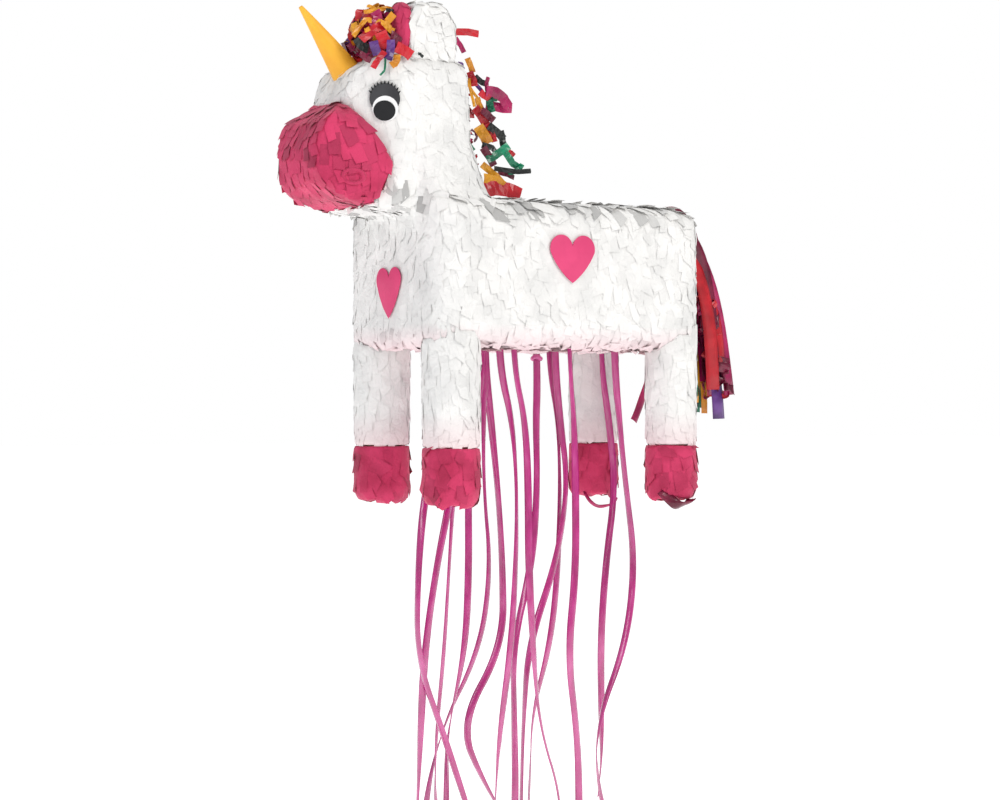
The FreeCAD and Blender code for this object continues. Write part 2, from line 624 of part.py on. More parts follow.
def make_ribbons():
    for name, route in ribbon_routes().items():
        save(name, ribbon_solid(name, [Vector(*point) for point in route]))


def main():
    make_trunk(flap_openings() + [eyelet_hole()] + decoy_holes())
    make_neck()
    make_head()
    for name, x, y, radius in leg_places():
        make_leg(name, x, y, radius)
    save("horn", horn_form(0).cut(head_form(0, 0)))
    make_ears()
    make_stickers()
    make_hair()
    make_eyelet()
    make_flaps()
    make_ribbon_tape()
    make_ribbons()


main()
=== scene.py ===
"""Looks of a hanging unicorn pinata: tissue, stickers, hair strips and satin ribbons on a board frame."""

import logging
import math
import random
from collections.abc import Callable, Sequence
from dataclasses import dataclass, field
from enum import Enum

import bmesh
import bpy
import numpy as np
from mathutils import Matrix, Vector, noise
from mathutils.bvhtree import BVHTree


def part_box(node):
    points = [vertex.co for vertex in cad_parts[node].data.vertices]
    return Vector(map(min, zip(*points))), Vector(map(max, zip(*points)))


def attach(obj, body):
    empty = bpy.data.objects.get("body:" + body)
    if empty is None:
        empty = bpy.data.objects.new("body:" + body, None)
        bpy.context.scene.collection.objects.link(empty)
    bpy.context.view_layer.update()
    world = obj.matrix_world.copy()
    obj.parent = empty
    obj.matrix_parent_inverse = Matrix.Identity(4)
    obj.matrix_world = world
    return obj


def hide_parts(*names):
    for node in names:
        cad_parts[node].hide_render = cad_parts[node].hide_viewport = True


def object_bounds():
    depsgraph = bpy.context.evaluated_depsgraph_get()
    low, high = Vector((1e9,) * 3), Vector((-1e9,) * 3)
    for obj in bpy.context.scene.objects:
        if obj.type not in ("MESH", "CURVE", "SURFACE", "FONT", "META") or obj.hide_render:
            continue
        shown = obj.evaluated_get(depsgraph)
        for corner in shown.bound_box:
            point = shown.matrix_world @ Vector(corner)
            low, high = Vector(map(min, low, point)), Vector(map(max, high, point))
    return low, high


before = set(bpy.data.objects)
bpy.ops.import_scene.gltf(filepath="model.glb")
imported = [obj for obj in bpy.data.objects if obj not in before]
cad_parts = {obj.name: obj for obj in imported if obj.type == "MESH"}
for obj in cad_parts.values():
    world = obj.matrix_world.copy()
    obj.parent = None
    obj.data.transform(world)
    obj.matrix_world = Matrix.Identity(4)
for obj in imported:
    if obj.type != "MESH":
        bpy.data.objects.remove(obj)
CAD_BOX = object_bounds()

logging.basicConfig(level=logging.INFO, format="%(name)s: %(message)s")
LOG = logging.getLogger("pinata")

Point = tuple[float, float, float]
Colour = tuple[float, float, float]
ROOT = "root"
MM_PER_M = 1000
# Painted shade: skins lying under the tabs are darkened by this factor.
SKIN_SHADE = 0.93  # how much darker a skin is than the tabs laid on it


# ------------------------------------------------------------------ materials

class Nodes:
    """A small writer of material node trees."""

    def __init__(self, name: str) -> None:
        """Start an empty material with a Principled surface.

        Args:
            name: The material's name.
        """
        self.material = bpy.data.materials.new(name)
        self.material.use_nodes = True
        self.tree = self.material.node_tree
        self.surface = self.tree.nodes["Principled BSDF"]

    def add(self, kind: str, **settings: object) -> bpy.types.Node:
        """Add a node and set its properties.

        Args:
            kind: Blender's node type.
            settings: Property names and values.

        Returns:
            The new node.
        """
        node = self.tree.nodes.new(kind)
        for key, value in settings.items():
            setattr(node, key, value)
        return node

    def link(self, source: bpy.types.NodeSocket, target: bpy.types.NodeSocket) -> None:
        """Join two sockets."""
        self.tree.links.new(source, target)

    def place(self, stretch: Point = (1, 1, 1), uv: bool = False) -> bpy.types.NodeSocket:
        """Give object or UV coordinates, stretched along each axis.

        Args:
            stretch: Factor for each axis.
            uv: True for the piece's own UV map.

        Returns:
            The vector socket.
        """
        source = self.add("ShaderNodeTexCoord").outputs["UV" if uv else "Object"]
        mapping = self.add("ShaderNodeMapping")
        mapping.inputs["Scale"].default_value = stretch
        self.link(source, mapping.inputs["Vector"])
        return mapping.outputs["Vector"]

    def noise(self, vector: bpy.types.NodeSocket, scale: float, detail: float = 3,
              distortion: float = 0.0) -> bpy.types.NodeSocket:
        """Add a noise texture.

        Args:
            vector: Coordinates.
            scale: Features per metre.
            detail: Octaves.
            distortion: Warp of the pattern.

        Returns:
            The factor socket.
        """
        node = self.add("ShaderNodeTexNoise")
        node.inputs["Scale"].default_value = scale
        node.inputs["Detail"].default_value = detail
        node.inputs["Distortion"].default_value = distortion
        self.link(vector, node.inputs["Vector"])
        return node.outputs["Fac"]

    def ramp(self, factor: bpy.types.NodeSocket,
             stops: Sequence[tuple[float, tuple]]) -> bpy.types.NodeSocket:
        """Turn a factor into a colour.

        Args:
            factor: The factor socket.
            stops: Place and RGB colour of each stop.

        Returns:
            The colour socket.
        """
        node = self.add("ShaderNodeValToRGB")
        band = node.color_ramp
        while len(band.elements) < len(stops):
            band.elements.new(0.5)
        for element, (place, colour) in zip(band.elements, stops):
            element.position = place
            element.color = (*colour, 1)
        self.link(factor, node.inputs["Fac"])
        return node.outputs["Color"]

    def blend(self, kind: str, amount: object, first: object, second: object) -> bpy.types.NodeSocket:
        """Mix two colours.

        Args:
            kind: Blend type, such as MIX or MULTIPLY.
            amount: A number or a socket.
            first: A colour or a socket.
            second: A colour or a socket.

        Returns:
            The colour socket.
        """
        node = self.add("ShaderNodeMix", data_type="RGBA", blend_type=kind)
        for socket, value in ((node.inputs[0], amount), (node.inputs[6], first), (node.inputs[7], second)):
            if isinstance(value, bpy.types.NodeSocket):
                self.link(value, socket)
            elif isinstance(value, (int, float)):
                socket.default_value = value
            else:
                socket.default_value = (*value, 1)
        return node.outputs[2]

    def bump(self, heights: Sequence[tuple[bpy.types.NodeSocket, float]]) -> None:
        """Chain bumps onto the surface's normal.

        Args:
            heights: Height socket and its depth in metres, coarse first.
        """
        normal = None
        for height, depth in heights:
            node = self.add("ShaderNodeBump")
            node.inputs["Distance"].default_value = depth
            node.inputs["Strength"].default_value = 1.0
            self.link(height, node.inputs["Height"])
            if normal is not None:
                self.link(normal, node.inputs["Normal"])
            normal = node.outputs["Normal"]
        self.link(normal, self.surface.inputs["Normal"])

    def surface_values(self, **values: object) -> None:
        """Set numbers on the surface shader by socket name, with underscores for spaces."""
        for key, value in values.items():
            self.surface.inputs[key.replace("_", " ")].default_value = value


@dataclass(frozen=True)
class TissueFinish:
    """Crinkled crepe tissue, whose sheets differ a little in tone and are darkened in places as painted
    shade.

    The colours are linear RGB. Low down on the piece, below a given height, the colour turns to a pink that
    is painted reflected light from the pink parts below it.
    """

    name: str
    colour: Colour
    deep: Colour
    # Painted reflected light: the pink that the piece turns to low down, the height where it starts and how
    # far it fades in.
    painted_pink_bounce: Colour
    painted_bounce_z: float = -10.0
    painted_bounce_reach: float = 0.05
    roughness: float = 0.82
    crinkle: float = 0.0012
    cloud_scale: float = 26
    fold_scale: float = 85
    thread_scale: float = 900
    thread_depth: float = 0.00016

    def material(self) -> bpy.types.Material:
        """Build the material.

        Returns:
            The tissue material.
        """
        nodes = Nodes(self.name)
        place = nodes.place()
        cloud = nodes.noise(place, self.cloud_scale, 4)
        base = nodes.ramp(cloud, [(0.30, self.deep), (0.55, self.colour)])
        # The sheet attribute holds each tab's own tone, with painted shade on darkened rim tabs and on the
        # skins under the tabs.
        sheet = nodes.add("ShaderNodeAttribute", attribute_name="sheet")
        base = nodes.blend("MULTIPLY", 1.0, base, sheet.outputs["Color"])
        height = nodes.add("ShaderNodeSeparateXYZ")
        nodes.link(place, height.inputs[0])
        # Painted reflected light: the colour fades to pink below the given height.
        painted_pink_bounce = nodes.add("ShaderNodeMapRange")
        painted_pink_bounce.inputs["From Min"].default_value = self.painted_bounce_z
        painted_pink_bounce.inputs["From Max"].default_value = self.painted_bounce_z - self.painted_bounce_reach
        nodes.link(height.outputs["Z"], painted_pink_bounce.inputs["Value"])
        base = nodes.blend("MIX", painted_pink_bounce.outputs["Result"], base, self.painted_pink_bounce)
        nodes.link(base, nodes.surface.inputs["Base Color"])
        folds = nodes.noise(place, self.fold_scale, 3, 1.2)
        threads = nodes.noise(nodes.place((1.0, 1.0, 0.25)), self.thread_scale, 2)
        nodes.bump([(folds, self.crinkle), (threads, self.thread_depth)])
        nodes.surface_values(Roughness=self.roughness, Specular_IOR_Level=0.25, Sheen_Weight=0.12,
                             Sheen_Roughness=0.5)
        return nodes.material


@dataclass(frozen=True)
class PaperFinish:
    """Smooth coloured paper or foil, with soft creases and a little wear."""

    name: str
    colour: Colour
    shade: Colour
    roughness: float = 0.45
    metallic: float = 0.0
    coat: float = 0.0
    crease: float = 0.0006
    crease_scale: float = 70.0
    specular: float = 0.4
    cloud_scale: float = 38
    grain_scale: float = 1500
    grain_depth: float = 0.00004
    roughness_spread: tuple[float, float] = (-0.08, 0.12)

    def material(self) -> bpy.types.Material:
        """Build the material.

        Returns:
            The paper material.
        """
        nodes = Nodes(self.name)
        place = nodes.place()
        cloud = nodes.noise(place, self.cloud_scale, 3)
        base = nodes.ramp(cloud, [(0.35, self.shade), (0.62, self.colour)])
        nodes.link(base, nodes.surface.inputs["Base Color"])
        creases = nodes.noise(place, self.crease_scale, 2, 0.8)
        grain = nodes.noise(place, self.grain_scale, 2)
        nodes.bump([(creases, self.crease), (grain, self.grain_depth)])
        rough = nodes.add("ShaderNodeMapRange")
        rough.inputs["To Min"].default_value = self.roughness + self.roughness_spread[0]
        rough.inputs["To Max"].default_value = self.roughness + self.roughness_spread[1]
        nodes.link(cloud, rough.inputs["Value"])
        nodes.link(rough.outputs["Result"], nodes.surface.inputs["Roughness"])
        nodes.surface_values(Metallic=self.metallic, Coat_Weight=self.coat, Coat_Roughness=0.2,
                             Specular_IOR_Level=self.specular)
        return nodes.material


@dataclass(frozen=True)
class SatinFinish:
    """Glossy woven ribbon with fine lengthwise threads."""

    name: str = "satin_ribbon"
    colour: Colour = (0.52, 0.012, 0.215)
    # Darker thread tone, also used as the painted shade of the patches along the ribbon.
    deep: Colour = (0.27, 0.005, 0.10)
    # Painted highlight colour of the satin.
    painted_highlight: Colour = (0.72, 0.10, 0.38)
    roughness: float = 0.2
    thread_stretch: Point = (60.0, 2.0, 1.0)
    # Stretch of the pattern that drives both the bump waves and the painted highlights and shade.
    wave_and_sheen_stretch: Point = (0.5, 2.2, 1.0)
    thread_depth: float = 0.00005
    wave_depth: float = 0.002

    def material(self) -> bpy.types.Material:
        """Build the material.

        Returns:
            The ribbon material. U runs across the ribbon and V along it.
        """
        nodes = Nodes(self.name)
        threads = nodes.noise(nodes.place(self.thread_stretch, uv=True), 1.0, 2)
        along = nodes.noise(nodes.place(self.wave_and_sheen_stretch, uv=True), 1.0, 2)
        base = nodes.ramp(threads, [(0.30, self.deep), (0.58, self.colour)])
        # Painted highlights and shade: in patches along the ribbon the colour runs from dark through the
        # satin colour to a light highlight pink.
        waves = nodes.ramp(along, [(0.32, self.deep), (0.52, self.colour), (0.72, self.painted_highlight)])
        base = nodes.blend("MIX", 0.55, base, waves)
        nodes.link(base, nodes.surface.inputs["Base Color"])
        nodes.bump([(along, self.wave_depth), (threads, self.thread_depth)])
        nodes.surface_values(Roughness=self.roughness, Specular_IOR_Level=1.0, Coat_Weight=0.8,
                             Coat_Roughness=0.1, Anisotropic=0.3)
        return nodes.material


@dataclass(frozen=True)
class BoardFinish:
    """Brown corrugated board with fibres and faint flutes."""

    name: str = "brown_board"
    colour: Colour = (0.42, 0.27, 0.14)
    shade: Colour = (0.30, 0.18, 0.09)
    fibre_scale: float = 120
    flute_scale: float = 45
    relief: float = 0.0002

    def material(self) -> bpy.types.Material:
        """Build the material.

        Returns:
            The board material.
        """
        nodes = Nodes(self.name)
        fibre = nodes.noise(nodes.place((1.0, 6.0, 6.0)), self.fibre_scale, 5)
        base = nodes.ramp(fibre, [(0.3, self.shade), (0.7, self.colour)])
        nodes.link(base, nodes.surface.inputs["Base Color"])
        wave = nodes.add("ShaderNodeTexWave", bands_direction="X")
        wave.inputs["Scale"].default_value = self.flute_scale
        nodes.link(nodes.place(), wave.inputs["Vector"])
        nodes.bump([(wave.outputs["Fac"], self.relief), (fibre, self.relief)])
        nodes.surface_values(Roughness=0.85)
        return nodes.material


# The pink on the belly's underside is painted reflected light from the ribbons below.
WHITE_TISSUE = TissueFinish("white_tissue", (0.86, 0.85, 0.83), (0.74, 0.735, 0.72), (0.80, 0.62, 0.64),
                            -0.132, 0.03)
PINK_TISSUE = TissueFinish("pink_tissue", (0.66, 0.042, 0.135), (0.45, 0.018, 0.075), (0.5, 0.02, 0.09),
                           roughness=0.62, crinkle=0.0009)


class Strip(Enum):
    """Colours of the cut strips in the hair."""

    RED = PaperFinish("strip_red", (0.60, 0.010, 0.022), (0.36, 0.004, 0.012), 0.36, coat=0.25)
    MAGENTA = PaperFinish("strip_magenta", (0.46, 0.010, 0.11), (0.25, 0.004, 0.06), 0.34, coat=0.3)
    GOLD = PaperFinish("strip_gold", (0.84, 0.40, 0.02), (0.60, 0.22, 0.01), 0.34, coat=0.3)
    PURPLE = PaperFinish("strip_purple", (0.13, 0.035, 0.24), (0.06, 0.015, 0.12), 0.34, coat=0.3)
    GREEN = PaperFinish("strip_green", (0.005, 0.27, 0.13), (0.002, 0.12, 0.06), 0.34, coat=0.3)
    PLUM = PaperFinish("strip_plum", (0.20, 0.006, 0.04), (0.10, 0.003, 0.02), 0.36, coat=0.2)
    DARK = PaperFinish("strip_dark", (0.012, 0.016, 0.014), (0.005, 0.006, 0.006), 0.34, coat=0.3)


# ------------------------------------------------------------------ modelling helpers

def clear_selection() -> None:
    """Leave edit mode and deselect every object."""
    if bpy.context.object is not None and bpy.context.object.mode != "OBJECT":
        bpy.ops.object.mode_set(mode="OBJECT")
    bpy.ops.object.select_all(action="DESELECT")


def activate(piece: bpy.types.Object) -> None:
    """Select one object alone and make it active."""
    clear_selection()
    piece.select_set(True)
    bpy.context.view_layer.objects.active = piece


def settle(piece: bpy.types.Object, name: str) -> bpy.types.Object:
    """Put a piece's place into its mesh and name it.

    Args:
        piece: The object.
        name: Its new name.

    Returns:
        The same object.
    """
    activate(piece)
    bpy.ops.object.transform_apply(location=True, rotation=True, scale=True)
    piece.name = name
    piece.data.name = name
    return piece


def apply_modifier(piece: bpy.types.Object, kind: str, **settings: object) -> None:
    """Add a modifier, set it and apply it.

    Args:
        piece: The object.
        kind: Modifier type.
        settings: Property names and values.
    """
    activate(piece)
    modifier = piece.modifiers.new(kind.title(), kind)
    for key, value in settings.items():
        setattr(modifier, key, value)
    bpy.ops.object.modifier_apply(modifier=modifier.name)


def bevel_edges(piece: bpy.types.Object, chosen: Callable[[Vector, Vector], bool], width: float,
                segments: int) -> None:
    """Bevel the edges that a test picks.

    Args:
        piece: The object, with its place in its mesh.
        chosen: Test of an edge's two ends.
        width: Bevel width.
        segments: Number of segments.
    """
    activate(piece)
    bpy.ops.object.mode_set(mode="EDIT")
    bpy.ops.mesh.select_mode(type="EDGE")
    bpy.ops.mesh.select_all(action="DESELECT")
    net = bmesh.from_edit_mesh(piece.data)
    for edge in net.edges:
        if chosen(edge.verts[0].co, edge.verts[1].co):
            edge.select_set(True)
    bmesh.update_edit_mesh(piece.data)
    bpy.ops.mesh.bevel(offset=width, segments=segments, affect="EDGES", clamp_overlap=True)
    bpy.ops.object.mode_set(mode="OBJECT")


def join(name: str, parts: Sequence[bpy.types.Object]) -> bpy.types.Object:
    """Join pieces into one.

    Args:
        name: The joined piece's name.
        parts: The pieces.

    Returns:
        The joined piece.
    """
    clear_selection()
    for part in parts:
        part.select_set(True)
    bpy.context.view_layer.objects.active = parts[0]
    bpy.ops.object.join()
    return settle(bpy.context.object, name)


def from_arrays(name: str, points: np.ndarray,
                faces: Sequence[Sequence[int]] | np.ndarray) -> bpy.types.Object:
    """Make a piece from arrays.

    Args:
        name: The piece's name.
        points: Vertex positions.
        faces: Vertex numbers of each face.

    Returns:
        The piece.
    """
    mesh = bpy.data.meshes.new(name)
    mesh.from_pydata([tuple(p) for p in points.tolist()], [], [tuple(f) for f in np.asarray(faces).tolist()])
    mesh.shade_smooth()
    piece = bpy.data.objects.new(name, mesh)
    bpy.context.collection.objects.link(piece)
    return piece


def quads(rows: int, columns: int) -> list[tuple[int, ...]]:
    """Give the faces of a grid whose vertices run row by row.

    Args:
        rows: Number of face rows.
        columns: Number of faces in a row.

    Returns:
        Four vertex numbers for each face.
    """
    stride = columns + 1
    return [(r * stride + c, r * stride + c + 1, (r + 1) * stride + c + 1, (r + 1) * stride + c)
            for r in range(rows) for c in range(columns)]


def edit_whole(piece: bpy.types.Object, *steps: Callable[[], object]) -> None:
    """Run mesh operators on a whole piece in edit mode.

    Args:
        piece: The piece.
        steps: The operators, in order.
    """
    activate(piece)
    bpy.ops.object.mode_set(mode="EDIT")
    bpy.ops.mesh.select_all(action="SELECT")
    for step in steps:
        step()
    bpy.ops.object.mode_set(mode="OBJECT")


def face_outwards() -> None:
    """Turn the selected faces outwards."""
    bpy.ops.mesh.normals_make_consistent(inside=False)


def paint_sheets(piece: bpy.types.Object, shades: np.ndarray) -> None:
    """Write the sheet attribute, one colour for each vertex.

    Args:
        piece: The piece.
        shades: RGB for each vertex.
    """
    layer = piece.data.attributes.new("sheet", "FLOAT_COLOR", "POINT")
    full = np.ones((len(piece.data.vertices), 4), dtype=np.float32)
    full[:, :3] = shades
    layer.data.foreach_set("color", full.ravel())


def dress(piece: bpy.types.Object, finish: object, body: str = ROOT,
          instead_of: Sequence[str] = ()) -> bpy.types.Object:
    """Give a piece its material, slot and body.

    Args:
        piece: The piece.
        finish: A finish, or a material that is already built.
        body: The body it rides on.
        instead_of: CAD nodes that it stands for.

    Returns:
        The same piece.
    """
    material = finish if isinstance(finish, bpy.types.Material) else MATERIALS.get(finish)
    piece.data.materials.clear()
    piece.data.materials.append(material)
    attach(piece, body)
    if instead_of:
        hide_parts(*instead_of)
    return piece


class MaterialShelf:
    """Builds each finish once and keeps it."""

    def __init__(self) -> None:
        """Start an empty shelf."""
        self.kept: dict[object, bpy.types.Material] = {}

    def get(self, finish: object) -> bpy.types.Material:
        """Give the material of a finish.

        Args:
            finish: The finish.

        Returns:
            Its material.
        """
        if finish not in self.kept:
            self.kept[finish] = finish.material()
        return self.kept[finish]


MATERIALS = MaterialShelf()


# ------------------------------------------------------------------ fringe of cut tissue

TRIES_PER_CELL = 5
TAB_TAPER = 0.12        # how much narrower a tab is at its free end
TAB_STUCK = 0.4         # share of a tab that lies above its place
TAB_HANG = 0.25         # how far a free end keeps to its plane instead of the skin
TAB_GLUE = 0.0002
LIFT_POWER = 1.6

@dataclass
class TabCut:
    """How one tissue tab is cut and how it lies."""

    width: float = 0.013
    length: float = 0.019
    lift: float = 0.0011
    crumple: float = 0.0006
    slant: float = 0.45
    turn: float = 0.35
    columns: int = 2
    rows: int = 4
    shade: float = 0.035
    # Chance, on ruffled rims, of a darkened tab: painted shade of the crevices there.
    painted_gap_shade: float = 0.11
    curl: float = 0.8


@dataclass
class Fringe:
    """Cut tissue tabs that overlap all over a skin.

    The tabs lie on the surface and hang downwards. ruffle says how much more they stand off at a point, and
    how often a tab there is darkened as painted shade of the crevices between tabs.
    """

    skin: bpy.types.Object
    cut: TabCut
    spacing: float
    seed: int
    lie: Callable[[Vector, Vector], Vector]
    ruffle: Callable[[Vector, Vector], float]
    keep: Callable[[Vector, Vector], bool]
    hold: Callable[[Vector], Vector]
    tree: BVHTree = field(init=False)

    def __post_init__(self) -> None:
        """Read the skin's surface."""
        net = bmesh.new()
        net.from_mesh(self.skin.data)
        self.tree = BVHTree.FromBMesh(net)
        net.free()

    def places(self) -> list[tuple[Vector, Vector]]:
        """Spread points over the skin, no two nearer than the spacing.

        Returns:
            Point and normal of each place.
        """
        mesh = self.skin.data
        mesh.calc_loop_triangles()
        corners = np.empty(len(mesh.vertices) * 3, dtype=np.float64)
        mesh.vertices.foreach_get("co", corners)
        corners = corners.reshape(-1, 3)
        triangles = np.empty(len(mesh.loop_triangles) * 3, dtype=np.int32)
        mesh.loop_triangles.foreach_get("vertices", triangles)
        a, b, c = (corners[triangles.reshape(-1, 3)[:, i]] for i in range(3))
        crosses = np.cross(b - a, c - a)
        areas = np.linalg.norm(crosses, axis=1) / 2
        rng = np.random.default_rng(self.seed)
        tries = int(areas.sum() / self.spacing ** 2 * TRIES_PER_CELL)
        picked = rng.choice(len(areas), size=tries, p=areas / areas.sum())
        u, v = rng.random(tries), rng.random(tries)
        flip = u + v > 1
        u[flip], v[flip] = 1 - u[flip], 1 - v[flip]
        spots = a[picked] + u[:, None] * (b - a)[picked] + v[:, None] * (c - a)[picked]
        normals = crosses[picked] / (2 * areas[picked][:, None])
        cells: dict[tuple[int, int, int], list[np.ndarray]] = {}
        found = []
        for spot, normal in zip(spots, normals):
            key = tuple(np.floor(spot / self.spacing).astype(int).tolist())
            near = (other for dx in (-1, 0, 1) for dy in (-1, 0, 1) for dz in (-1, 0, 1)
                    for other in cells.get((key[0] + dx, key[1] + dy, key[2] + dz), ()))
            if any(((spot - other) ** 2).sum() < self.spacing ** 2 for other in near):
                continue
            cells.setdefault(key, []).append(spot)
            place, facing = Vector(spot), Vector(normal)
            if self.keep(place, facing):
                found.append((place, facing))
        return found

    def tab(self, place: Vector, facing: Vector, dice: random.Random) -> list[Vector]:
        """Lay one tab on the skin.

        Args:
            place: Where its upper part is stuck.
            facing: The skin's normal there.
            dice: Random numbers.

        Returns:
            The tab's vertices, row by row.
        """
        cut = self.cut
        along = self.lie(place, facing)
        along = (along - facing * along.dot(facing)).normalized()
        across = facing.cross(along)
        angle = dice.gauss(0, cut.turn)
        along, across = (along * math.cos(angle) + across * math.sin(angle),
                         across * math.cos(angle) - along * math.sin(angle))
        width = cut.width * dice.uniform(0.75, 1.3)
        length = cut.length * dice.uniform(0.75, 1.25)
        slant = dice.uniform(-cut.slant, cut.slant)
        ruffle = self.ruffle(place, facing)
        lift = cut.lift * dice.uniform(0.35, 1.6) * ruffle
        curl = dice.uniform(-1, 1) * cut.lift * cut.curl * ruffle
        vertices = []
        for row in range(cut.rows + 1):
            down = row / cut.rows
            for column in range(cut.columns + 1):
                side = column / cut.columns - 0.5
                reach = down + slant * side * down
                spot = (place + across * side * width * (1 - TAB_TAPER * down)
                        + along * (reach - TAB_STUCK) * length)
                spot = self.hold(spot)
                near, normal, _, _ = self.tree.find_nearest(spot)
                height = (lift * down ** LIFT_POWER + curl * side * down
                          + dice.uniform(-1, 1) * cut.crumple * down)
                vertices.append(near.lerp(spot, TAB_HANG * down) + normal * (TAB_GLUE + height))
        return vertices

    def build(self, name: str) -> bpy.types.Object:
        """Make the whole fringe as one piece.

        Args:
            name: The piece's name.

        Returns:
            The fringe.
        """
        dice = random.Random(self.seed)
        pattern = quads(self.cut.rows, self.cut.columns)
        points, faces, shades = [], [], []
        for place, facing in self.places():
            base = len(points)
            tab = self.tab(place, facing, dice)
            points.extend(tab)
            faces.extend([tuple(base + i for i in face) for face in pattern])
            shade = 1.0 - abs(dice.gauss(0, self.cut.shade))
            # Some tabs on ruffled rims are darkened: painted shade of the crevices between them.
            if dice.random() < self.cut.painted_gap_shade * (self.ruffle(place, facing) - 1):
                shade = dice.uniform(0.5, 0.85)
            shades.extend([(shade, shade, shade)] * len(tab))
        piece = from_arrays(name, np.array(points), faces)
        paint_sheets(piece, np.array(shades))
        return piece


def hang_down(place: Vector, facing: Vector) -> Vector:
    """Tabs hang down, and outwards on a flat back or belly.

    Args:
        place: A point on the skin.
        facing: The normal there.

    Returns:
        The direction that a tab runs in.
    """
    side = 1.0 if place.y >= 0 else -1.0
    return Vector((0.12, side * 0.35 * abs(facing.z), -1.0 if facing.z < 0.9 else -0.4))


# ------------------------------------------------------------------ tissue coats

BACK_SPAN = (-0.02, math.inf)
BELLY_SPAN = (-0.175, -0.135)
TRUNK_DEPTH = 0.155
STICKERS = ("left_heart", "right_heart", "chest_heart", "left_eye", "right_eye")

@dataclass
class Opening:
    """A flap's opening in the cover, seen from above, on the back or the belly."""

    low: tuple[float, float]
    high: tuple[float, float]
    back: bool
    edge: float = 0.0015

    def near(self, place: Vector) -> bool:
        """Say whether a point is at the opening's height."""
        low, high = BACK_SPAN if self.back else BELLY_SPAN
        return low < place.z < high

    def push_out(self, place: Vector) -> Vector:
        """Move a point over the opening out to its nearest edge.

        Args:
            place: A point on a tab.

        Returns:
            The point, moved if need be.
        """
        if not self.near(place):
            return place
        gaps = [place.x - self.low[0] + self.edge, self.high[0] + self.edge - place.x,
                place.y - self.low[1] + self.edge, self.high[1] + self.edge - place.y]
        if min(gaps) <= 0:
            return place
        side = gaps.index(min(gaps))
        moves = [(-gaps[0], 0), (gaps[1], 0), (0, -gaps[2]), (0, gaps[3])]
        return place + Vector((*moves[side], 0))

    def pull_in(self, place: Vector) -> Vector:
        """Keep a flap's tab within its own edges.

        Args:
            place: A point on a tab.

        Returns:
            The point, moved if need be.
        """
        x = min(max(place.x, self.low[0] + self.edge), self.high[0] - self.edge)
        y = min(max(place.y, self.low[1] + self.edge), self.high[1] - self.edge)
        return Vector((x, y, place.z))


def copy_nodes(name: str, nodes: Sequence[str]) -> bpy.types.Object:
    """Copy CAD nodes into one merged mesh.

    Args:
        name: The new piece's name.
        nodes: The CAD nodes.

    Returns:
        The copy.
    """
    copies = []
    for node in nodes:
        copy = bpy.data.objects.new(name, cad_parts[node].data.copy())
        bpy.context.collection.objects.link(copy)
        copies.append(copy)
    piece = join(name, copies)
    edit_whole(piece, lambda: bpy.ops.mesh.remove_doubles(threshold=0.00002), face_outwards)
    return piece


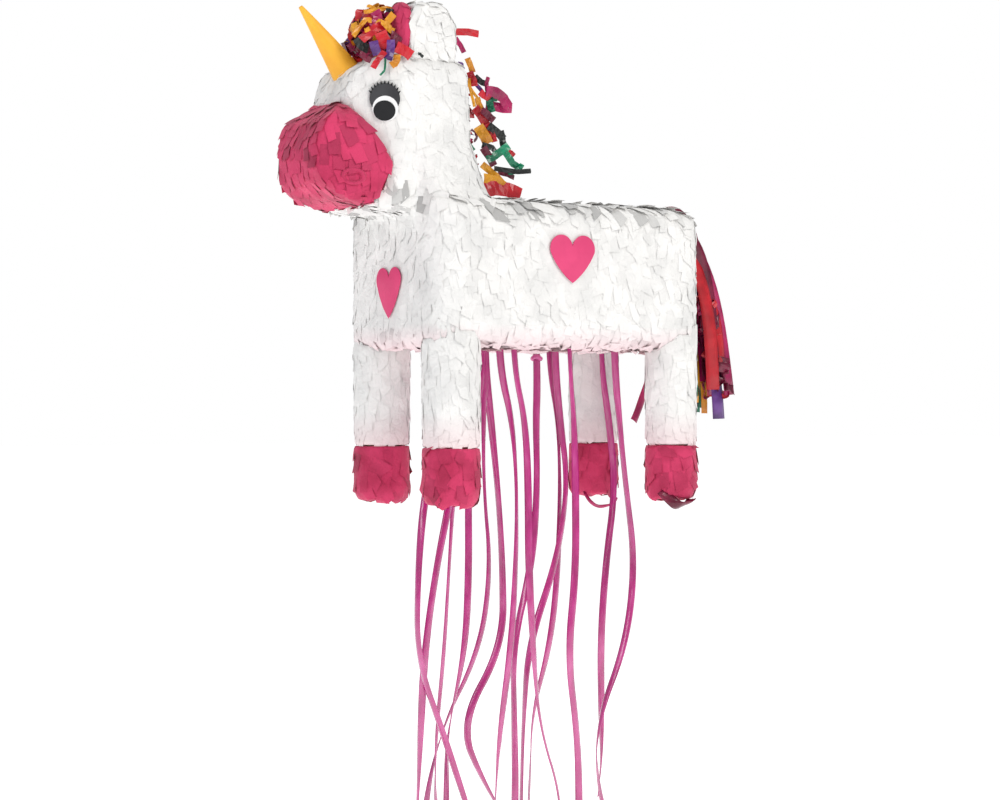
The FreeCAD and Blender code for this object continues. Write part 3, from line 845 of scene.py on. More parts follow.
@dataclass
class TissueCoat:
    """A crumpled tissue skin with cut tabs glued all over it.

    spine is a line through the middle of the form: tabs go only on the faces that look away from it.
    """

    name: str
    nodes: tuple[str, ...]
    spine: tuple[Point, ...]
    finish: TissueFinish
    slot: str
    cut: TabCut
    spacing: float
    seed: int
    body: str = ROOT
    voxel: float = 0.0033
    crumple: float = 0.0007
    crumple_size: float = 0.011
    smoothing: int = 4
    lie: Callable[[Vector, Vector], Vector] = hang_down
    ruffle: Callable[[Vector, Vector], float] = lambda place, facing: 1.0
    sole: float = 0.0
    sole_height: float = 0.018
    allow: Callable[[Vector, Vector], bool] = lambda place, facing: True
    openings: tuple[Opening, ...] = ()
    flap: Opening | None = None
    outward_share: float = 0.15

    def outward(self, place: Vector, facing: Vector) -> bool:
        """Say whether a face looks away from the spine.

        Args:
            place: A point of the face.
            facing: Its normal.

        Returns:
            True on the outside.
        """
        best, reach = None, 1e9
        for a, b in zip(self.spine, self.spine[1:]):
            start, run = Vector(a), Vector(b) - Vector(a)
            share = min(max((place - start).dot(run) / run.length_squared, 0), 1)
            near = start + run * share
            if (place - near).length < reach:
                best, reach = near, (place - near).length
        if (place - best).dot(facing) < self.outward_share * reach:
            return False
        return (self.allow(place, facing)
                and all(opening.push_out(place) == place for opening in self.openings))

    def hold(self, place: Vector) -> Vector:
        """Keep tabs off the openings, and a flap's tabs on the flap.

        Args:
            place: A point on a tab.

        Returns:
            The allowed point.
        """
        for opening in self.openings:
            place = opening.push_out(place)
        return self.flap.pull_in(place) if self.flap else place

    def skin(self) -> bpy.types.Object:
        """Build the crumpled skin under the tabs.

        Returns:
            The skin.
        """
        piece = copy_nodes(f"{self.name}_skin", self.nodes)
        apply_modifier(piece, "REMESH", mode="VOXEL", voxel_size=self.voxel)
        apply_modifier(piece, "SMOOTH", factor=0.5, iterations=self.smoothing)
        mesh = piece.data
        places = [(vertex.co.copy(), vertex.normal.copy()) for vertex in mesh.vertices]
        moved = []
        for place, facing in places:
            wave = noise.noise(place / self.crumple_size) + 0.5 * noise.noise(place / self.crumple_size * 2.3)
            moved.extend(place + facing * wave * self.crumple)
        moved = np.array(moved).reshape(-1, 3)
        if self.sole > 0:
            middle = (moved.min(axis=0) + moved.max(axis=0)) / 2
            depth = np.clip(1 - (moved[:, 2] - moved[:, 2].min()) / self.sole_height, 0, 1)
            moved[:, :2] -= (moved[:, :2] - middle[:2]) * (self.sole * depth ** 2)[:, None]
        mesh.vertices.foreach_set("co", moved.ravel())
        mesh.update()
        mesh.shade_smooth()
        # Painted shade: the skin under the tabs is darkened.
        paint_sheets(piece, np.full((len(mesh.vertices), 3), SKIN_SHADE))
        dress(piece, self.finish, self.body, self.nodes)
        return piece

    def build(self) -> None:
        """Build the skin and its tabs."""
        skin = self.skin()
        fringe = Fringe(skin, self.cut, self.spacing, self.seed, self.lie, self.ruffle, self.outward,
                        self.hold)
        tabs = fringe.build(f"{self.name}_tabs")
        dress(tabs, self.finish, self.body)
        LOG.info("%s: skin of %d faces, %d tab faces", self.name, len(skin.data.polygons),
                 len(tabs.data.polygons))


@dataclass
class Cover:
    """The white cover of the animal and its pink muzzle and hooves."""

    filler: Opening = field(default_factory=lambda: flap_opening("filler_flap", True))
    door: Opening = field(default_factory=lambda: flap_opening("trap_door", False))
    body_cut: TabCut = field(default_factory=lambda: TabCut(0.0130, 0.021, 0.00065, 0.0004, 0.5, 0.3))
    leg_cut: TabCut = field(default_factory=lambda: TabCut(0.0120, 0.020, 0.0006, 0.0004, 0.5, 0.22))
    flap_cut: TabCut = field(default_factory=lambda: TabCut(0.012, 0.014, 0.0006, 0.0003))
    muzzle_cut: TabCut = field(
        default_factory=lambda: TabCut(0.0120, 0.019, 0.0015, 0.0004, 0.15, 0.2, 2, 3, 0.16))
    hoof_cut: TabCut = field(
        default_factory=lambda: TabCut(0.014, 0.019, 0.0013, 0.0005, 0.5, 0.45, 2, 3, 0.16))
    leg_reach: tuple[float, float] = (-0.120, -0.325)
    spine: tuple[Point, ...] = ((0.11, 0, -0.075), (-0.11, 0, -0.075), (-0.145, 0, 0.03), (-0.175, 0, 0.085),
                                (-0.215, 0, 0.08))
    flap_spine: float = 0.05
    neck_from: float = 0.02
    neck_ruffle: float = 0.6
    rim_ruffle: float = 3.0
    rim_reach: float = 0.020
    sticker_margin: float = 0.006
    sticker_rise: float = 0.004
    sticker_reach: float = 1.35

    def body_ruffle(self, place: Vector, facing: Vector) -> float:
        """Make the tabs stand off more along the edges of the back and the belly, where more of them are also
        darkened as painted shade.

        Args:
            place: A point on the cover.
            facing: The normal there.

        Returns:
            The factor on a tab's lift.
        """
        if place.z > self.neck_from:
            return self.neck_ruffle
        rim = min(abs(place.z), abs(place.z + TRUNK_DEPTH))
        return 1.0 + self.rim_ruffle * max(0.0, 1 - rim / self.rim_reach)

    def clear_of_stickers(self, place: Vector, facing: Vector) -> bool:
        """Say whether a tab may be stuck here, which it may not under a heart or an eye.

        Args:
            place: A point on the cover.
            facing: The normal there.

        Returns:
            True away from the stickers.
        """
        for node in STICKERS:
            low, high = map(Vector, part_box(node))
            reach = (high - low) / 2 + Vector((self.sticker_margin,) * 3)
            away = place - (low + high) / 2
            rise = (away.z - self.sticker_rise) / reach.z
            if (away.x / reach.x) ** 2 + (away.y / reach.y) ** 2 + rise ** 2 < self.sticker_reach:
                return False
        return True

    def leg_spine(self, node: str) -> tuple[Point, Point]:
        """Give the axis of a leg.

        Args:
            node: The CAD node of the leg's tissue.

        Returns:
            Its upper and lower ends.
        """
        low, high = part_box(node)
        x, y = (low[0] + high[0]) / 2, (low[1] + high[1]) / 2
        return (x, y, self.leg_reach[0]), (x, y, self.leg_reach[1])

    def build(self) -> None:
        """Build every tissue coat."""
        TissueCoat("cover", ("body_crepe", "neck_crepe", "head_crepe", "head_box"),
                   self.spine, WHITE_TISSUE, "white_tissue", self.body_cut, 0.0086, 11,
                   ruffle=self.body_ruffle, openings=(self.filler, self.door),
                   allow=self.clear_of_stickers).build()
        for seed, end in enumerate(("front_left", "front_right", "rear_left", "rear_right"), 21):
            TissueCoat(f"{end}_leg", (f"{end}_leg_crepe",), self.leg_spine(f"{end}_leg_crepe"), LEG_TISSUE,
                       "white_tissue", self.leg_cut, 0.0088, seed, voxel=0.0026).build()
            TissueCoat(f"{end}_hoof_wrap", (f"{end}_hoof",), self.leg_spine(f"{end}_hoof"), PINK_TISSUE,
                       "pink_tissue", self.hoof_cut, 0.0105, seed + 10, voxel=0.0026, sole=0.16).build()
        TissueCoat("muzzle_wrap", ("muzzle_crepe", "muzzle_box"), ((-0.215, 0, 0.06), (-0.262, 0, 0.035)),
                   PINK_TISSUE, "pink_tissue", self.muzzle_cut, 0.0105, 41, voxel=0.0026).build()
        for node, flap, seed in (("filler_flap", self.filler, 42), ("trap_door", self.door, 43)):
            low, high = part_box(f"{node}_crepe")
            level = low[2] - self.flap_spine if flap.back else high[2] + self.flap_spine
            inner = Opening((low[0], low[1]), (high[0], high[1]), flap.back)
            TissueCoat(f"{node}_cover", (f"{node}_crepe",), ((low[0], 0, level), (high[0], 0, level)),
                       WHITE_TISSUE, "white_tissue", self.flap_cut, 0.0095, seed, body=node, voxel=0.0016,
                       crumple=0.0003, smoothing=1, flap=inner).build()


def flap_opening(node: str, back: bool) -> Opening:
    """Read a flap's opening from its CAD node.

    Args:
        node: The flap's tissue node, without its ending.
        back: True on the back, False on the belly.

    Returns:
        The opening.
    """
    low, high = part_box(f"{node}_crepe")
    return Opening((low[0], low[1]), (high[0], high[1]), back)


# ------------------------------------------------------------------ head pieces

@dataclass
class Horn:
    """A rolled paper cone with a slight bend and an overlapping seam."""

    base_radius: float = 0.0200
    tip_radius: float = 0.0022
    bend: float = 0.004
    sides: int = 40
    rings: int = 9
    foot: Point = (-0.2145, 0, 0.113)
    seam_height: float = 0.00055
    seam_width: float = 0.5
    seam_angle: float = 1.2
    seam_turn: float = 1.4
    rim: float = 0.0008

    def build(self) -> bpy.types.Object:
        """Build the cone around the CAD horn.

        Returns:
            The horn.
        """
        low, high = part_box("horn")
        foot, tip = Vector(self.foot), Vector((low[0] + self.tip_radius, 0, high[2]))
        run = tip - foot
        clear_selection()
        bpy.ops.mesh.primitive_cone_add(vertices=self.sides, radius1=self.base_radius,
                                        radius2=self.tip_radius, depth=run.length, end_fill_type="NGON",
                                        location=(0, 0, run.length / 2))
        piece = settle(bpy.context.object, "rolled_horn")
        for ring in range(1, self.rings):
            level = (0, 0, run.length * ring / self.rings)
            edit_whole(piece, lambda: bpy.ops.mesh.bisect(plane_co=level, plane_no=(0, 0, 1)))
        turn = run.to_track_quat("Z", "Y").to_matrix()
        for vertex in piece.data.vertices:
            share = vertex.co.z / run.length
            angle = math.atan2(vertex.co.y, vertex.co.x)
            off_seam = abs(math.remainder(angle + self.seam_angle + self.seam_turn * share, math.tau))
            seam = self.seam_height * max(0.0, 1 - off_seam / self.seam_width)
            vertex.co += Vector((math.cos(angle), math.sin(angle), 0)) * seam
            vertex.co = foot + turn @ vertex.co + Vector((-1, 0, -0.5)) * self.bend * (share ** 2 - share)
        bevel_edges(piece, lambda a, b: min((a - tip).length, (b - tip).length) < 0.004
                    and abs((a - b).dot(run.normalized())) < 0.0006, self.rim, 2)
        apply_modifier(piece, "SUBSURF", levels=1, render_levels=1)
        piece.data.shade_smooth()
        return dress(piece, YELLOW_PAPER, instead_of=("horn",))


@dataclass
class Ears:
    """Two tissue ears with a pink inside."""

    sides: tuple[str, str] = ("left", "right")
    cut: TabCut = field(default_factory=lambda: TabCut(0.012, 0.016, 0.0012, 0.0005))
    lining_cut: TabCut = field(
        default_factory=lambda: TabCut(0.011, 0.015, 0.0010, 0.0003, 0.3, 0.3, 2, 3, 0.12))
    squareness: float = 0.75
    inset: float = 0.010
    crumple: float = 0.0005
    crumple_size: float = 0.008
    front_limit: float = 0.2
    bulge: float = 0.008
    spread: float = 0.004

    def build(self) -> None:
        """Build both ears."""
        for seed, side in enumerate(self.sides, 51):
            low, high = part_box(f"{side}_ear")
            centre = [(a + b) / 2 for a, b in zip(low, high)]
            TissueCoat(f"{side}_ear_cover", (f"{side}_ear",), ((centre[0], centre[1], low[2]), tuple(centre)),
                       WHITE_TISSUE, "white_tissue", self.cut, 0.0085, seed, voxel=0.0022).build()
            low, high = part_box(f"{side}_ear_lining")
            self.lining(side, Vector(low), Vector(high), seed + 10)

    def lining(self, side: str, low: Vector, high: Vector, seed: int) -> None:
        """Build the padded pink inside, which bulges over the ear's front.

        Args:
            side: left or right.
            low: Lowest corner of the CAD lining.
            high: Highest corner of the CAD lining.
            seed: Seed of its tabs.
        """
        clear_selection()
        middle = (low + high) / 2
        bpy.ops.mesh.primitive_uv_sphere_add(segments=40, ring_count=24, radius=1, location=(0, 0, 0))
        pad = bpy.context.object
        half = Vector((self.bulge, (high.y - low.y) / 2 + self.spread, (high.z - low.z) / 2 + self.spread))
        for vertex in pad.data.vertices:
            flat = Vector([math.copysign(abs(c) ** self.squareness, c) for c in vertex.co])
            spot = Vector([a * b for a, b in zip(flat, half)])
            spot = spot + Vector((high.x - self.inset, middle.y, middle.z))
            vertex.co = spot + Vector((1, 1, 1)) * self.crumple * noise.noise(spot / self.crumple_size)
        pad.data.shade_smooth()
        settle(pad, f"{side}_ear_pad")
        # Painted shade: the pad under the lining tabs is darkened.
        paint_sheets(pad, np.full((len(pad.data.vertices), 3), SKIN_SHADE))
        dress(pad, PINK_TISSUE, instead_of=(f"{side}_ear_lining",))
        fringe = Fringe(pad, self.lining_cut, 0.0075, seed, hang_down, lambda place, facing: 1.0,
                        lambda place, facing: facing.x < self.front_limit, lambda place: place)
        dress(fringe.build(f"{side}_ear_pad_tabs"), PINK_TISSUE)


@dataclass
class Eye:
    """A printed paper eye on the side of the head: dark lid with lashes, pale crescent, black pupil."""

    side: str
    lash_count: int = 11
    lift: float = 0.00035
    full_x: float = -0.196
    full_half: float = 0.062
    bridge_x: float = -0.253
    bridge_half: float = 0.034
    centre: tuple[float, float] = (-0.2135, 0.0)
    lid: tuple[float, float, float, float] = (0.0, 0.1000, 0.0158, 0.0158)
    white: tuple[float, float, float, float] = (0.0005, 0.0897, 0.0133, 0.0130)
    pupil: tuple[float, float, float, float] = (-0.0004, 0.0873, 0.0114, 0.0105)
    outline: float = 0.0005
    glue: float = 0.0012
    sunk: float = 0.0008
    lash_span: tuple[float, float] = (158, 136)
    lash_root: float = 0.94
    lash_length: float = 0.0042
    lash_half_width: float = 0.0011
    lash_spread: float = 1.4

    def place(self, across: float, height: float, out: float) -> Vector:
        """Give a point on the sticker.

        Args:
            across: Distance from the eye's middle along the face, rearwards.
            height: Height in the frame.
            out: Distance off the face.

        Returns:
            The point.
        """
        sign = -1 if self.side == "left" else 1
        along = Vector((self.full_x - self.bridge_x, self.full_half - self.bridge_half)).normalized()
        slope = (self.full_half - self.bridge_half) / (self.full_x - self.bridge_x)
        middle = Vector((self.centre[0], self.full_half + slope * (self.centre[0] - self.full_x)))
        spot = middle + along * across + Vector((-along.y, along.x)) * (out + self.glue)
        return Vector((spot.x, sign * spot.y, height))

    def patch(self, name: str, shape: Callable[[float, float], tuple[float, float]], layer: int,
              finish: PaperFinish, sides: int = 56) -> bpy.types.Object:
        """Add one printed patch.

        Args:
            name: Name of the patch.
            shape: Turns a unit disc's point into (across, height).
            layer: How many layers up it lies.
            finish: Its print.
            sides: Sides of the disc.

        Returns:
            The patch.
        """
        clear_selection()
        bpy.ops.mesh.primitive_cylinder_add(vertices=sides, radius=1, depth=2)
        piece = bpy.context.object
        for vertex in piece.data.vertices:
            across, height = shape(vertex.co.x, vertex.co.y)
            out = layer * self.lift if vertex.co.z > 0 else -self.sunk
            vertex.co = self.place(across, height, out)
        edit_whole(piece, face_outwards)
        return dress(settle(piece, f"{self.side}_{name}"), finish)

    def oval(self, name: str, oval: tuple[float, float, float, float], layer: int, finish: PaperFinish,
             grow: float = 0.0) -> bpy.types.Object:
        """Add an oval patch.

        Args:
            name: Name of the patch.
            oval: Its middle (across, height) and half sizes.
            layer: How many layers up it lies.
            finish: Its print.
            grow: How much larger it is made all round.

        Returns:
            The patch.
        """
        def shape(u: float, v: float) -> tuple[float, float]:
            """Stretch the unit disc."""
            return oval[0] + u * (oval[2] + grow), oval[1] + v * (oval[3] + grow)
        return self.patch(name, shape, layer, finish)

    def lash(self, number: int) -> bpy.types.Object:
        """Add one short pointed lash on the lid's upper edge.

        Args:
            number: Which lash, from front to rear.

        Returns:
            The lash.
        """
        angle = math.radians(self.lash_span[0] - self.lash_span[1] * number / (self.lash_count - 1))
        root = Vector((self.lid[0] + math.cos(angle) * self.lid[2] * self.lash_root,
                       self.lid[1] + math.sin(angle) * self.lid[3] * self.lash_root))
        out = Vector((math.cos(angle) * 0.8, math.sin(angle) + 0.35)).normalized()
        side = Vector((-out.y, out.x)) * self.lash_half_width

        def shape(u: float, v: float) -> tuple[float, float]:
            """Draw the disc out to a point."""
            share = (v + 1) / 2
            spot = root + side * u * (1 - share) * self.lash_spread + out * self.lash_length * share
            return spot.x, spot.y
        return self.patch(f"lash_{number:02d}", shape, 2, BLACK_PRINT, 14)

    def build(self) -> None:
        """Build the sticker in its printed colours."""
        ground = self.oval("eye_ground", self.white, 1, WHITE_PRINT, self.outline)
        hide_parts(f"{self.side}_eye")
        lashes = join(f"{self.side}_lashes", [self.lash(i) for i in range(self.lash_count)])
        dress(lashes, BLACK_PRINT)
        self.oval("eye_lid", self.lid, 2, GREY_PRINT)
        self.oval("eye_white", self.white, 3, WHITE_PRINT)
        self.oval("eye_pupil", self.pupil, 4, BLACK_PRINT)


@dataclass
class MuzzleLines:
    """The folded nostril rings on the muzzle."""

    nostril: tuple[float, float] = (-0.2600, 0.0180)
    ring_radius: float = 0.0085
    ring_thickness: float = 0.0022
    stretch: Point = (1.25, 0.85, 0.8)
    ripple: float = 0.0008
    fold: float = 0.0009
    fold_scale: float = 260
    proud: float = 0.0010
    shade: float = 0.82

    def nostril_ring(self, side: int) -> bpy.types.Object:
        """Add one nostril ring.

        Args:
            side: -1 on the left, 1 on the right.

        Returns:
            The ring.
        """
        clear_selection()
        skin = bpy.data.objects["muzzle_wrap_skin"]
        beside = Vector((self.nostril[0], side * 0.08, self.nostril[1]))
        _, spot, facing, _ = skin.closest_point_on_mesh(beside)
        bpy.ops.mesh.primitive_torus_add(major_segments=32, minor_segments=10, major_radius=self.ring_radius,
                                         minor_radius=self.ring_thickness)
        piece = bpy.context.object
        turn = facing.to_track_quat("Z", "Y")
        for vertex in piece.data.vertices:
            angle = math.atan2(vertex.co.y, vertex.co.x)
            fold = self.fold * noise.noise(vertex.co * self.fold_scale)
            shaped = Vector([a * b for a, b in zip(vertex.co, self.stretch)])
            shaped.z += self.ripple * math.sin(3 * angle)
            vertex.co = spot + turn @ shaped + facing * (self.proud + fold)
        piece.data.shade_smooth()
        return settle(piece, f"nostril_{'left' if side < 0 else 'right'}")

    def build(self) -> None:
        """Build both rings."""
        for side in (-1, 1):
            ring = self.nostril_ring(side)
            paint_sheets(ring, np.full((len(ring.data.vertices), 3), self.shade))
            dress(ring, PINK_TISSUE)


@dataclass
class Hearts:
    """Pink paper heart stickers with a pressed rim."""

    rim: float = 0.0004
    proud: float = 0.0016
    flat_angle: float = 3
    rim_angle: float = 50
    smooth_angle: float = 40

    def build(self) -> None:
        """Build the three hearts from their CAD outlines."""
        faces = {"left_heart": (0, -1, 0), "right_heart": (0, 1, 0), "chest_heart": (-1, 0, 0)}
        for node, out in faces.items():
            piece = copy_nodes(f"{node}_sticker", (node,))
            for vertex in piece.data.vertices:
                vertex.co += Vector(out) * self.proud
            limit = math.radians(self.flat_angle)
            edit_whole(piece, lambda: bpy.ops.mesh.dissolve_limited(angle_limit=limit))
            apply_modifier(piece, "BEVEL", width=self.rim, segments=2, limit_method="ANGLE",
                           angle_limit=math.radians(self.rim_angle))
            piece.data.shade_smooth()
            activate(piece)
            bpy.ops.object.shade_smooth_by_angle(angle=math.radians(self.smooth_angle))
            dress(piece, PINK_PAPER, instead_of=(node,))


# ------------------------------------------------------------------ hair of cut strips

@dataclass(frozen=True)
class Lock:
    """One strip: its colour, four guide points, width, twist in turns and curl across."""

    colour: Strip
    guide: tuple[Point, Point, Point, Point]
    width: float
    twist: float = 0.2
    cup: float = 0.15
    facing: Point = (0.0, -1.0, 0.0)


@dataclass
class Hair:
    """A bundle of strips, each a thin sheet that bends smoothly or, if folded, at its guide points."""

    name: str
    nodes: tuple[str, ...]
    locks: list[Lock]
    rows: int = 18
    columns: int = 4
    thickness: float = 0.00035
    wave: float = 0.0016
    folded: bool = False
    sway: float = 0.25
    ripple: float = 0.0005

    def strip(self, lock: Lock, seed: int) -> tuple[np.ndarray, list[tuple[int, ...]]]:
        """Lay a strip along its guide.

        Args:
            lock: The strip.
            seed: Seed of its waves.

        Returns:
            Vertices and faces.
        """
        dice = random.Random(seed)
        guide = [Vector(p) for p in lock.guide]
        phases = [dice.uniform(0, math.tau) for _ in range(3)]
        points, last = [], Vector(lock.facing)
        for row in range(self.rows + 1):
            t = row / self.rows
            if self.folded:
                leg = min(int(3 * t), 2)
                spot = guide[leg].lerp(guide[leg + 1], 3 * t - leg)
                ahead = (guide[leg + 1] - guide[leg]).normalized()
            else:
                a, b, c, d = (1 - t) ** 3, 3 * t * (1 - t) ** 2, 3 * t * t * (1 - t), t ** 3
                spot = guide[0] * a + guide[1] * b + guide[2] * c + guide[3] * d
                ahead = (3 * (1 - t) ** 2 * (guide[1] - guide[0]) + 6 * t * (1 - t) * (guide[2] - guide[1])
                         + 3 * t * t * (guide[3] - guide[2])).normalized()
            last = (last - ahead * last.dot(ahead)).normalized()
            turn = lock.twist * math.tau * t + self.sway * math.sin(3.1 * t + phases[0])
            normal = last * math.cos(turn) + ahead.cross(last) * math.sin(turn)
            across = ahead.cross(normal)
            spot = spot + normal * self.wave * math.sin(9 * t + phases[1])
            for column in range(self.columns + 1):
                side = column / self.columns - 0.5
                bow = lock.cup * lock.width * (1 - 4 * side * side)
                ripple = self.ripple * math.sin(14 * t + 4 * side + phases[2])
                points.append(spot + across * side * lock.width + normal * (bow + ripple))
        return np.array(points), quads(self.rows, self.columns)

    def build(self) -> None:
        """Build the strips, one piece for each colour."""
        first = True
        for colour in Strip:
            points, faces = [], []
            for seed, lock in enumerate(self.locks):
                if lock.colour is not colour:
                    continue
                strip_points, strip_faces = self.strip(lock, seed)
                base = sum(len(p) for p in points)
                points.append(strip_points)
                faces.extend([tuple(base + i for i in face) for face in strip_faces])
            if not points:
                continue
            piece = from_arrays(f"{self.name}_{colour.name.lower()}", np.concatenate(points), faces)
            if self.folded:
                piece.data.shade_flat()
            apply_modifier(piece, "SOLIDIFY", thickness=self.thickness, offset=0)
            dress(piece, colour.value, instead_of=self.nodes if first else ())
            first = False
        LOG.info("%s: %d strips", self.name, len(self.locks))


def spray(colours: Sequence[Strip], starts: Sequence[Point], ends: Sequence[Point], rise: Point, count: int,
          widths: tuple[float, float], loose: float, seed: int, twist: float = 0.3) -> list[Lock]:
    """Scatter strips between a line of roots and a line of tips.

    Args:
        colours: Colours, taken in turn.
        starts: Line of roots.
        ends: Line of tips.
        rise: How far the middle of a strip stands off the straight way.
        count: Number of strips.
        widths: Least and greatest width.
        loose: Spread of the guide points.
        seed: Seed of the scatter.
        twist: Greatest twist in turns.

    Returns:
        The strips.
    """
    dice = random.Random(seed)

    def along(line: Sequence[Point], share: float) -> Vector:
        """Give a point on a line of points."""
        place = share * (len(line) - 1)
        low = min(int(place), len(line) - 2)
        return Vector(line[low]).lerp(Vector(line[low + 1]), place - low)

    def jitter(size: float) -> Vector:
        """Give a small random move."""
        return Vector([dice.uniform(-size, size) for _ in range(3)])

    locks = []
    for number in range(count):
        share = (number + dice.random()) / count
        root = along(starts, share) + jitter(loose * 0.4)
        tip = along(ends, share) + jitter(loose)
        first = root.lerp(tip, 0.3) + Vector(rise) + jitter(loose * 0.6)
        second = root.lerp(tip, 0.75) + Vector(rise) * 0.7 + jitter(loose * 0.8)
        colour = colours[dice.randrange(len(colours))]
        locks.append(Lock(colour, tuple(map(tuple, (root, first, second, tip))), dice.uniform(*widths),
                          dice.uniform(-twist, twist), dice.uniform(-0.2, 0.2),
                          (dice.uniform(-0.5, 0.3), -1.0, dice.uniform(-0.4, 0.4))))
    return locks


def flakes(colours: Sequence[Strip], middle: Callable[[float], Point], radii: Point, count: int,
           sizes: tuple[float, float], seed: int, tilt: float = 0.9) -> list[Lock]:
    """Scatter crumpled square scraps over a rounded lump that may be drawn out along a line.

    Args:
        colours: Colours to draw from.
        middle: Gives the lump's middle for a share from 0 to 1.
        radii: Half sizes of the lump.
        count: Number of scraps.
        sizes: Least and greatest side of a scrap.
        seed: Seed of the scatter.
        tilt: How far the scraps lean out of the lump's surface.

    Returns:
        The scraps.
    """
    dice = random.Random(seed)
    scraps = []
    for number in range(count):
        out = Vector([dice.gauss(0, 1) for _ in range(3)]).normalized()
        depth = dice.uniform(0.72, 1.0)
        spot = Vector(middle((number + 0.5) / count)) + Vector([a * b * depth for a, b in zip(out, radii)])
        facing = (out + Vector([dice.uniform(-tilt, tilt) for _ in range(3)])).normalized()
        along = facing.cross(Vector([dice.gauss(0, 1) for _ in range(3)])).normalized()
        size = dice.uniform(*sizes)
        bend = facing * size * dice.uniform(-0.35, 0.35)
        guide = (spot - along * size / 2, spot - along * size / 6 + bend, spot + along * size / 6 + bend,
                 spot + along * size / 2)
        colour = colours[dice.randrange(len(colours))]
        scraps.append(Lock(colour, tuple(map(tuple, guide)), size * dice.uniform(0.6, 1.0),
                           dice.uniform(-0.06, 0.06), dice.uniform(-0.25, 0.25), tuple(facing)))
    return scraps


# Strips that lie on the mane: colour, y, width, and x and z of four guide points, in millimetres.
MANE_STRIPS = (
    (Strip.RED, -20, 7.6, ((-116, 182), (-103, 184), (-91, 185), (-77, 184))),
    (Strip.MAGENTA, -22, 5.4, ((-108, 177), (-105, 173), (-101, 169), (-97, 162))),
    (Strip.GOLD, -24, 6.5, ((-94, 156), (-92, 152), (-89, 146), (-87, 141))),
    (Strip.RED, -26, 8.6, ((-93, 141), (-91, 137), (-88, 132), (-87, 126))),
    (Strip.DARK, -20, 6.5, ((-82, 138), (-78, 135), (-73, 132), (-68, 131))),
    (Strip.MAGENTA, -22, 4.3, ((-66, 138), (-68, 132), (-68, 125), (-66, 119))),
    (Strip.GOLD, -24, 3.2, ((-100, 137), (-93, 128), (-87, 120), (-79, 112))),
    (Strip.GOLD, -26, 3.2, ((-93, 134), (-92, 124), (-89, 114), (-86, 104))),
    (Strip.GOLD, -20, 6.5, ((-79, 115), (-77, 109), (-74, 104), (-71, 99))),
    (Strip.PURPLE, -22, 4.3, ((-82, 129), (-77, 125), (-73, 121), (-71, 116))),
    (Strip.RED, -24, 7.6, ((-78, 121), (-74, 118), (-69, 116), (-65, 115))),
    (Strip.MAGENTA, -26, 11.9, ((-71, 122), (-60, 122), (-49, 116), (-42, 107))),
    (Strip.MAGENTA, -20, 10.8, ((-68, 108), (-56, 107), (-46, 106), (-34, 107))),
    (Strip.GREEN, -22, 9.7, ((-60, 126), (-60, 121), (-60, 117), (-60, 112))),
    (Strip.GREEN, -24, 7.6, ((-66, 113), (-65, 109), (-64, 105), (-62, 100))),
    (Strip.PLUM, -26, 7.6, ((-77, 101), (-71, 98), (-66, 94), (-61, 91))),
    (Strip.RED, -20, 9.7, ((-82, 104), (-75, 97), (-69, 89), (-61, 78))),
    (Strip.GOLD, -22, 11.9, ((-79, 84), (-75, 79), (-70, 73), (-66, 66))),
    (Strip.RED, -24, 6.5, ((-69, 87), (-65, 81), (-61, 74), (-59, 68))),
    (Strip.DARK, -26, 8.6, ((-68, 85), (-61, 81), (-55, 77), (-49, 72))),
    (Strip.DARK, -20, 7.6, ((-49, 81), (-47, 76), (-46, 69), (-44, 63))),
    (Strip.DARK, -22, 6.5, ((-74, 64), (-68, 63), (-61, 62), (-55, 56))),
    (Strip.PLUM, -24, 8.6, ((-74, 61), (-69, 55), (-64, 49), (-60, 42))),
    (Strip.GREEN, -26, 8.6, ((-70, 48), (-61, 52), (-52, 58), (-42, 65))),
    (Strip.RED, -20, 5.4, ((-40, 62), (-38, 60), (-35, 58), (-31, 55))),
    (Strip.GREEN, -22, 7.6, ((-44, 58), (-39, 52), (-34, 46), (-25, 42))),
    (Strip.GREEN, -24, 5.4, ((-23, 46), (-27, 40), (-34, 37), (-42, 35))),
    (Strip.DARK, -26, 5.4, ((-61, 39), (-47, 38), (-30, 37), (-13, 39))),
    (Strip.PLUM, -20, 5.4, ((-52, 36), (-46, 35), (-39, 34), (-31, 31))),
    (Strip.GOLD, -22, 7.6, ((-74, 43), (-66, 38), (-57, 32), (-49, 25))),
    (Strip.GOLD, -24, 10.8, ((-73, 28), (-65, 27), (-56, 26), (-48, 21))),
    (Strip.RED, -26, 17.3, ((-74, 15), (-60, 18), (-43, 17), (-27, 11))),
    (Strip.DARK, -20, 5.4, ((-44, 5), (-33, 2), (-18, 0), (-2, 0))),
)

